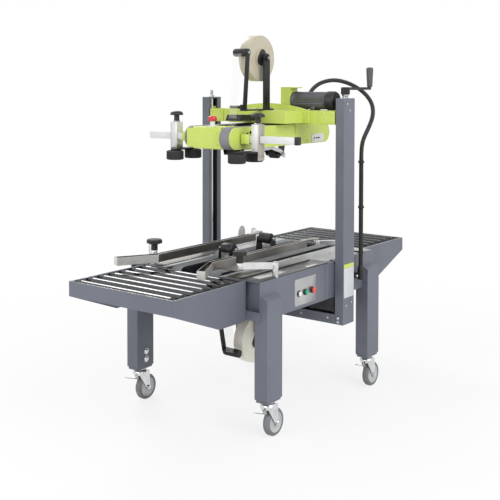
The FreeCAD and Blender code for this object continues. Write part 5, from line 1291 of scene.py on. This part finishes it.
@dataclass
class Squeezer(PairedAssembly):
    """A squeezer: white coated block, knob, wheel arm and two ribbed rubber wheels."""

    centre: float = 240.0
    half: float = 20.5
    wall: float = 10.0
    low: float = 1262.0
    high: float = 1388.0
    clamp_low: float = 1221.0
    split: float = 5.2
    arm_level: float = 1254.1
    wheel_level: float = 1209.0
    wheel_reach: float = 68.0
    arm_half: Pair = (82.0, 14.0)

    def sleeve(self, near: float, far: float, low: float) -> Shape:
        """Walls in front of, behind, above and below the bar.

        Args:
            near: Where they begin along y.
            far: Where they end.
            low: Their lower end.

        Returns:
            The walls.
        """
        front, rear = BAR.front - self.wall, BAR.rear + self.wall
        walls = block((front, near, low), (BAR.front - 0.5, far, self.high), 1.2)
        walls += block((BAR.rear + 0.5, near, low), (rear, far, self.high), 1.2)
        for bottom, top in ((BAR.high + 0.6, self.high - 0.3), (low + 0.3, BAR.low - 0.6)):
            walls += block((front + 3, near + 0.3, bottom), (rear - 3, far - 0.3, top), 0.6)
        return walls

    def wheel(self) -> Shape:
        """A wheel with ribs round its tread and a hub cap."""
        tread = lathed([(0, 0), (36, 0), (41.2, 3), (41.8, 6), (41.8, 38), (41.2, 41), (36, 44), (30, 44),
                        (28, 41), (12, 41), (10, 47), (0, 47)], 96)
        tyre = lathed([(36, 3), (42, 5), (42, 12), (40.6, 13), (40.6, 15), (42, 16), (42, 28), (40.6, 29),
                       (40.6, 31), (42, 32), (42, 39), (36, 41)], 96, ribs(32, 0.035), loop=True)
        return (tread + tyre).at(z=self.wheel_level)

    def arm(self, x: float, y: float) -> Shape:
        """The flat arm from the block to the wheels, about the wheels' middle at x and y."""
        half_x, half_y = self.arm_half
        root = self.centre + self.half - self.split
        outline = [(x - half_x, y - half_y), (x + half_x, y - half_y), (x + half_x, y + half_y),
                   (BAR.rear + self.wall, root), (BAR.front - self.wall, root), (x - half_x, y + half_y)]
        return plate(outline, 7.8, 0.8).at(z=self.arm_level)

    def pieces(self) -> None:
        """The squeezer's parts in place of its node."""
        body = f"{self.name}_squeezer"
        near, far = self.centre - self.half, self.centre + self.half
        jacket = self.sleeve(near, far - self.split, self.low)
        fit(f"{body}_block", self.side(jacket), SQUEEZER_WHITE, body, [body])
        tail = self.sleeve(far - 5, far, self.clamp_low)
        tail += screws(Head.SOCKET, 3, Way.FAR, [(BAR.middle + dx, far, 1241) for dx in (-12, 12)])
        fit(f"{body}_clamp_plate", self.side(tail), CLAMP_GREY, body)
        x, y = BAR.middle - 14, self.centre - 60
        fit(f"{body}_arm", self.side(self.arm(x, y)), BLACK_STEEL, body)
        wheels = union([self.wheel().at(x + dx, y) for dx in (-self.wheel_reach, self.wheel_reach)])
        fit(f"{body}_wheels", self.side(wheels), RUBBER, body, crease=25)
        self.knob(body)

    def knob(self, body: str) -> None:
        """The black knob on top, its ribbed grip and its collar."""
        cap = lathed([(0, 0), (14, 0), (13, 30), (18, 36), (26, 35), (31, 33), (32, 36), (30.5, 44),
                      (25, 49.5), (15, 52.4), (0, 53)], 72)
        grip = lathed([(27, 34.5), (31.9, 34.5), (31.4, 43), (26, 47.5)], 96, ribs(16, 0.05), loop=True)
        place = (BAR.middle, self.centre, self.high)
        fit(f"{body}_knob", self.side((cap + grip).at(*place)), NYLON, body)
        fit(f"{body}_knob_collar", self.side(ring(15.2, 17.5, 0, 5, 32, 1).at(*place)), ZINC, body)


@dataclass
class SqueezerBars(Assembly):
    """The squeezers' white bars, their lime mounting plates and sockets, and black end caps."""

    face: float = 149.0
    socket_end: float = 204.0
    overlap: float = 20.0
    near_end: float = 450.0
    far_end: float = 421.0

    def pieces(self) -> None:
        """Plates, sockets, bars and caps in place of their node."""
        mount = block((-326, self.face, 1285), (-250, self.face + 5, 1362), 0.8)
        mount += BAR.stretch(self.face + 4.8, self.socket_end, grow=6)
        bolts = screws(Head.HEX, 3.5, Way.FAR, [(-262, self.face + 5, z) for z in (1300, 1346)])
        bolts += screws(Head.SOCKET, 3, Way.UP, [(BAR.middle, 180, BAR.high + 6)])
        fit("bar_mounts", mount.both_sides(), LIME_PAINT, "head", ["squeezer_bars"])
        fit("bar_mount_screws", bolts.both_sides(), BLACK_STEEL, "head")
        start = self.socket_end - self.overlap
        bars = BAR.stretch(start, self.far_end) + BAR.stretch(-self.near_end, -start)
        fit("white_bars", bars, WHITE_BAR, "head")
        cap = BAR.stretch(-self.near_end - 17, -self.near_end + 0.5, grow=2, edge=3, steps=4)
        fit("bar_end_cap", cap, NYLON, "head")
        plug = BAR.stretch(self.far_end - 1, self.far_end + 3, grow=-2, edge=1.2)
        fit("bar_end_plug", plug, SILVER_STEEL, "head")


@dataclass
class SideGuide(PairedAssembly):
    """One guide rail with bright lips and a flared end, its arms and its knob."""

    low: float = extent("far_guide_rail").low[Z]
    high: float = 777.0
    front: float = -574.0
    rear: float = 198.0
    inner: float = extent("far_guide_rail").low[Y]
    outer: float = 175.0
    lip: float = 4.5
    knob_level: float = 772.3

    def nodes(self) -> Dressing:
        """Polished rail, bright arms."""
        return {f"{self.name}_guide_rail": (POLISHED, 0.0), f"{self.name}_front_arm": (BRIGHT_ARM, 0.8),
                f"{self.name}_rear_arm": (BRIGHT_ARM, 0.8)}

    def pieces(self) -> None:
        """The knob, lobed on the near side and domed on the far one, and the rail's bright edges."""
        body = f"{self.name}_rail"
        neck = ring(15.1, 16, 0, 32.4, 32, 0.3)
        star = lathed([(0, 32.4), (29.4, 32.4), (31.6, 34), (31.6, 51.6), (29.2, 53.9), (0, 53.9)], 96,
                      ribs(6, 0.1))
        dome = lathed([(0, 32.4), (30, 32.4), (38, 35.5), (38, 48), (34, 52.5), (20, 53.8), (0, 53.9)], 72)
        x, y, _ = pivot("far_rail_turn")
        knob = (neck + (star if self.name == "near" else dome)).at(x, y, self.knob_level)
        fit(f"{self.name}_guide_knob", self.side(knob), NYLON, body)
        lips = union([block((self.front, y, self.high), (self.rear, y + self.lip, self.high + 0.8), 0.3)
                      for y in (self.inner, self.outer - self.lip)])
        fit(f"{self.name}_rail_lips", self.side(lips), EDGE_STEEL, body)
        faces = [[(-575, 147.4), (-574.8, 148), (-760, 236), (-760.6, 235.4)],
                 [(-746, 270.6), (-746, 270), (-575, 175), (-574.6, 175.6)],
                 [(-760.7, 235.8), (-760, 236), (-746, 270), (-746.7, 270.6)]]
        flare = union([plate(face, self.high - self.low, 0.2) for face in faces]).at(z=self.low)
        fit(f"{self.name}_flare_faces", self.side(flare), EDGE_STEEL, body)


@dataclass
class RailLug(Assembly):
    """The upright lug on the far rail: half an ellipse on a straight foot."""

    x: float = 112.0
    y: float = 178.2
    foot: float = 774.0
    shoulder: float = 792.0
    half: float = 30.0
    rise: float = 36.0

    def pieces(self) -> None:
        """The lug."""
        turns = np.linspace(0, np.pi, 17)
        arc = [(self.x + self.half * math.cos(t), self.shoulder + self.rise * math.sin(t)) for t in turns]
        outline = [(self.x - self.half, self.foot), (self.x + self.half, self.foot), *arc]
        lug = plate(outline, 3, 0.6).turned(90, Along.X).at(y=self.y)
        fit("far_rail_lug", lug, BRIGHT_ARM, "far_rail")


@dataclass
class GuidePosts(Assembly):
    """The posts on which the guide arms turn."""

    def nodes(self) -> Dressing:
        """Bright steel."""
        return {"guide_posts": (SILVER_STEEL, 0.5)}


@dataclass(frozen=True)
class Button:
    """One push button: its place along the plate, the reach and radius of its cap, its finish."""

    name: str
    x: float
    reach: float
    radius: float
    finish: Finish


@dataclass
class ControlPlate(Assembly):
    """The brushed control plate with three push buttons."""

    spot: Extent = extent("control_panel")
    thick: float = 1.5
    inset: float = 6.0
    z: float = 602.0
    buttons: tuple[Button, ...] = (
        Button("white", -202, 11, 11.5, BUTTON_WHITE),
        Button("green", -150, 15, 11.5, BUTTON_GREEN),
        Button("red", -90, 17, 15, BUTTON_RED),
    )

    @property
    def face(self) -> float:
        """The y of the plate's outer face."""
        return self.spot.high[Y] - self.thick

    def on_plate(self, shape: Shape, x: float) -> Shape:
        """A shape whose own z axis stands out of the plate, at the buttons' height."""
        return shape.turned(90, Along.X).at(x, self.face, self.z)

    def cap(self, button: Button) -> Shape:
        """A button's stem and cap."""
        reach, radius = button.reach, button.radius
        return lathed([(0, 0), (9.8, 0), (9.8, reach - 6), (radius, reach - 5.6), (radius, reach - 1.2),
                       (radius - 1.5, reach), (0, reach + 0.4)], 32)

    def pieces(self) -> None:
        """Plate, screws and the buttons with their bases."""
        low, high, inset = self.spot.low, self.spot.high, self.inset
        sheet = block((low[X], self.face, low[Z]), high, 0.5)
        fit("control_plate", sheet, PANEL_STEEL, "root", ["control_panel"])
        corners = [(x, self.face, z) for x in (low[X] + inset, high[X] - inset)
                   for z in (low[Z] + inset, high[Z] - inset)]
        fit("control_plate_screws", screws(Head.PAN, 1.8, Way.NEAR, corners), ZINC, "root")
        bases = [self.on_plate(ring(10.2, 15, 0, 6, 32, 1.2), button.x) for button in self.buttons]
        fit("button_bases", union(bases), NYLON, "root")
        for button in self.buttons:
            cap = self.on_plate(self.cap(button), button.x)
            fit(f"{button.name}_button", cap, button.finish, "root")


@dataclass
class Crank(Assembly):
    """The crank on the near screw: hub, nut, arm and tapered grip."""

    x: float = pivot("crank_turn")[X]
    y: float = pivot("crank_turn")[Y]
    reach: float = 241.0
    arm_level: float = 1544.2

    def pieces(self) -> None:
        """Its parts in place of the node."""
        tip = self.x + self.reach
        hub = lathed([(7.6, 1522.6), (20.5, 1522.6), (22, 1524.5), (22, 1556), (20, 1558.4),
                      (0, 1558.4)], 36)
        arm = plate([(self.x, -10), (tip - 32, -8.5), (tip, -8.5), (tip, 8.5), (tip - 32, 8.5),
                     (self.x, 10)], 13.6, 1.6)
        crank = hub.at(self.x, self.y) + arm.at(0, self.y, self.arm_level)
        fit("crank_arm", crank, BLACK_STEEL, "near_screw", ["crank_handle"])
        nut = lathed([(9.1, 1514.4), (16.5, 1514.4), (16.5, 1522.4), (9.1, 1522.4)], 12, hexagon, loop=True)
        fit("crank_nut", nut.at(self.x, self.y), ZINC, "near_screw")
        grip = lathed([(0, 1557.6), (10, 1557.6), (12.5, 1559), (13.6, 1563), (14.5, 1580), (16.8, 1625),
                       (17.8, 1645), (17.4, 1652), (14, 1657), (8, 1658), (0, 1658)], 40)
        fit("crank_grip", grip.at(tip, self.y), GRIP, "near_screw", crease=60)


@dataclass
class CableRiser(Assembly):
    """The conduit beside the mast: boot with its elbow and screw, cable and clamp rings."""

    x: float = 308.0
    y: float = -425.0
    side: float = -extent("cable_riser").high[Y]
    low: float = 640.0
    high: float = extent("cable_riser").high[Z]
    rings: tuple[float, ...] = (728.0, 956.0, 1183.0)

    def pieces(self) -> None:
        """The conduit in place of its node, its clamps and the boot."""
        tube = lathed([(0, self.low), (11, self.low), (11, self.high), (0, self.high)], 28)
        elbow = block((self.x - 12, self.y, 594), (self.x + 12, -self.side, 620), 3)
        fit("riser_conduit", tube.at(self.x, self.y) + elbow, RUBBER, "root", ["cable_riser"])
        clamps = union([ring(11.1, 15.2, z - 6, z + 6, 32, 1.6).at(self.x, self.y) for z in self.rings])
        lowest = self.rings[0]
        lug = block((self.x - 4, self.y + 12, lowest - 4), (self.x + 4, -self.side, lowest + 4), 1)
        fit("riser_clamps", clamps + lug, NYLON, "root")
        boot = lathed([(0, 590), (15, 590), (16, 592), (16, self.low), (14.5, 652), (11.1, 660),
                       (0, 660)], 36, ribs(18, 0.03))
        fit("riser_boot", boot.at(self.x, self.y), NYLON, "root")
        stem = screws(Head.HEX, 4, Way.FRONT, [(self.x - 12, self.y + 14, 607)])
        fit("boot_screw", stem, CHROME, "root")


# Cable


@dataclass
class HeadCable:
    """The flexible conduit between the riser on the bed and the motor on the head."""

    diameter: float = 22.0
    ring_pitch: float = 7.0
    ring_depth: float = 1.0
    rows_a_ring: int = 6
    steps: int = 20
    route: tuple[Point, ...] = (
        (308, -425, 1195), (308, -425, 1250), (328, -425, 1300), (390, -425, 1360),
        (433, -423, 1416), (457, -404, 1474), (462, -355, 1530), (435, -292, 1574),
        (390, -228, 1597), (342, -176, 1586), (300, -150, 1558), (272, -138, 1522),
        (257, -132, 1478),
    )

    def line(self) -> np.ndarray:
        """The points of the route's smooth line, read from its spline, in millimetres."""
        curve = bpy.data.curves.new("cable_line", "CURVE")
        curve.dimensions = "3D"
        curve.resolution_u = 24
        spline = curve.splines.new("NURBS")
        spline.points.add(len(self.route) - 1)
        for point, place in zip(spline.points, self.route):
            point.co = (*[c * METRES for c in place], 1)
        spline.order_u = 3
        spline.use_endpoint_u = True
        holder = bpy.data.objects.new("cable_line", curve)
        bpy.context.scene.collection.objects.link(holder)
        bpy.context.view_layer.update()
        mesh = bpy.data.meshes.new_from_object(holder.evaluated_get(
            bpy.context.evaluated_depsgraph_get()))
        places = np.array([vertex.co[:] for vertex in mesh.vertices])
        bpy.data.objects.remove(holder)
        bpy.data.meshes.remove(mesh)
        return places / METRES

    def build(self) -> None:
        """Sweeps a ringed tube along the line: the radius is less by the ring depth between rings."""
        line = self.line()
        reach = np.concatenate([[0], np.cumsum(np.linalg.norm(np.diff(line, axis=0), axis=1))])
        length = float(reach[-1])
        stations = np.linspace(0, length, int(length / self.ring_pitch) * self.rows_a_ring + 1)
        path = np.stack([np.interp(stations, reach, line[:, n]) for n in range(3)], 1)
        wave = np.clip(1.6 * np.cos(2 * np.pi * stations / self.ring_pitch), -1, 1)
        radius = self.diameter / 2 - self.ring_depth * (0.5 - 0.5 * wave)
        tube = swept(path, radius, self.steps)
        piece = fit("head_cable", tube, NYLON, None, ["cable_hose"], crease=60)
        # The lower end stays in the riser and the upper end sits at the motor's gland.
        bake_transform(piece)


# Studio


@dataclass(frozen=True)
class Lamp:
    """A square soft light: its place and aim in metres, power in watts and side in metres."""

    name: str
    place: Point
    aim: Point
    power: float
    size: float

    def make(self) -> None:
        """Hangs the light so that it shines at its aim."""
        data = bpy.data.lights.new(self.name, "AREA")
        data.energy = self.power
        data.size = self.size
        lamp = bpy.data.objects.new(self.name, data)
        lamp.location = self.place
        ahead = np.array(self.aim) - np.array(self.place)
        lamp.rotation_euler = Euler((math.acos(-ahead[2] / np.linalg.norm(ahead)), 0,
                                     math.atan2(ahead[1], ahead[0]) - math.pi / 2))
        bpy.context.scene.collection.objects.link(lamp)


@dataclass
class Studio:
    """Floor, lights and the camera at the photograph's point of view.

    The eye is in millimetres, the angles are in degrees, and the floor's sizes are in metres.
    """

    eye: Point = (-3782, -2729, 1575)
    yaw: float = 51.15
    pitch: float = 1.96
    focal_px: float = 924.65
    optical_axis_px: Pair = (207.6, 115.4)
    frame_px: float = 500.0
    sensor: float = 36.0
    clip_end: float = 200.0
    floor_half: float = 40.0
    floor_colour: str = "#F2F2F2"
    floor_roughness: float = 0.9
    floor_shine: float = 0.1
    white_near: float = 1.0
    white_far: float = 3.4
    white_share: float = 0.78
    ambient: float = 0.62
    lamps: tuple[Lamp, ...] = (
        Lamp("key", (-1.2, -4.2, 3.6), (0, 0, 0.9), 122, 3.0),
        Lamp("fill", (-4.6, 0.6, 2.6), (0, 0, 0.9), 66, 3.0),
        Lamp("rim", (1.4, 3.4, 4.0), (0, 0, 0.8), 75, 1.7),
    )

    def camera(self) -> None:
        """The camera: level lens data from the photograph's two vanishing points."""
        data = bpy.data.cameras.new("camera")
        data.sensor_width = self.sensor
        data.lens = self.focal_px * self.sensor / self.frame_px
        data.shift_x = (self.frame_px / 2 - self.optical_axis_px[0]) / self.frame_px
        data.shift_y = -(self.frame_px / 2 - self.optical_axis_px[1]) / self.frame_px
        data.clip_end = self.clip_end
        eye = bpy.data.objects.new("camera", data)
        eye.location = [c * METRES for c in self.eye]
        eye.rotation_euler = Euler((math.radians(90 - self.pitch), 0, math.radians(-self.yaw)))
        bpy.context.scene.collection.objects.link(eye)
        bpy.context.scene.camera = eye

    def seen(self, tree: bpy.types.NodeTree) -> bpy.types.NodeSocket:
        """The factor that is 1 for camera, glossy and transmitted rays."""
        rays = add_node(tree, "ShaderNodeLightPath").outputs
        either = add_node(tree, "ShaderNodeMath", {"operation": "MAXIMUM"}, {
            0: rays["Is Camera Ray"], 1: rays["Is Glossy Ray"]})
        return add_node(tree, "ShaderNodeMath", {"operation": "MAXIMUM"}, {
            0: either.outputs[0], 1: rays["Is Transmission Ray"]}).outputs[0]

    def floor(self) -> None:
        """A plain pale floor, lifted towards white for the camera but keeping the shadow: the white
        share grows with the distance from the object, so that the floor ends unseen."""
        half = self.floor_half
        mesh = bpy.data.meshes.new("floor")
        mesh.from_pydata([(-half, -half, 0), (half, -half, 0), (half, half, 0), (-half, half, 0)],
                         [], [(0, 1, 2, 3)])
        material = bpy.data.materials.new("pale_floor")
        material.use_nodes = True
        tree = material.node_tree
        shader = tree.nodes["Principled BSDF"]
        shader.inputs["Base Color"].default_value = linear(self.floor_colour)
        shader.inputs["Roughness"].default_value = self.floor_roughness
        shader.inputs["Specular IOR Level"].default_value = self.floor_shine
        place = add_node(tree, "ShaderNodeTexCoord").outputs["Object"]
        away = add_node(tree, "ShaderNodeVectorMath", {"operation": "LENGTH"}, {0: place})
        share = add_node(tree, "ShaderNodeMapRange", {"interpolation_type": "SMOOTHSTEP"}, {
            "Value": away.outputs["Value"], "From Min": self.white_near, "From Max": self.white_far,
            "To Min": self.white_share, "To Max": 1.0})
        mixed = add_node(tree, "ShaderNodeMath", {"operation": "MULTIPLY"}, {
            0: self.seen(tree), 1: share.outputs["Result"]})
        glow = add_node(tree, "ShaderNodeEmission", inputs={"Color": (1, 1, 1, 1), "Strength": 1.0})
        mix = add_node(tree, "ShaderNodeMixShader", inputs={
            0: mixed.outputs[0], 1: shader.outputs[0], 2: glow.outputs[0]})
        tree.links.new(mix.outputs[0], tree.nodes["Material Output"].inputs["Surface"])
        mesh.materials.append(material)
        floor = bpy.data.objects.new("floor", mesh)
        bpy.context.scene.collection.objects.link(floor)

    def world(self) -> None:
        """Even pale surroundings, seen as white."""
        world = bpy.data.worlds.new("studio")
        world.use_nodes = True
        tree = world.node_tree
        plain = tree.nodes["Background"]
        plain.inputs["Color"].default_value = (1, 1, 1, 1)
        plain.inputs["Strength"].default_value = self.ambient
        glow = add_node(tree, "ShaderNodeBackground", inputs={"Color": (1, 1, 1, 1), "Strength": 1.0})
        mix = add_node(tree, "ShaderNodeMixShader", inputs={
            0: self.seen(tree), 1: plain.outputs[0], 2: glow.outputs[0]})
        tree.links.new(mix.outputs[0], tree.nodes["World Output"].inputs["Surface"])
        bpy.context.scene.world = world

    def build(self) -> None:
        """Camera, floor, world and three soft lights."""
        self.camera()
        self.floor()
        self.world()
        for lamp in self.lamps:
            lamp.make()
        bpy.context.scene.view_settings.view_transform = "Standard"


def machine() -> list[Assembly]:
    """Every sub-assembly of the carton sealer, from the floor upwards."""
    casters = [Caster(f"{side}_{end}") for side in ("near", "far") for end in ("infeed", "outfeed")]
    tables = [RollerTable(), RollerTable("outfeed", 1, ROLLER_DARK)]
    guides = [SideGuide(), SideGuide("far"), RailLug()]
    squeezers = [Squeezer(), Squeezer("far", centre=254)]
    return [*casters, Bed(), *tables, Masts(), *guides, ControlPlate(), CableRiser(), LiftingHead(),
            BeltMotor(), TapeHeads(), SqueezerBars(), *squeezers, Crank(), GuidePosts()]


def main() -> None:
    """Builds the studio and every sub-assembly."""
    logging.basicConfig(level=logging.INFO, format="%(message)s")
    Studio().build()
    HeadCable().build()
    for assembly in machine():
        assembly.build()


if __name__ == "__main__":
    main()
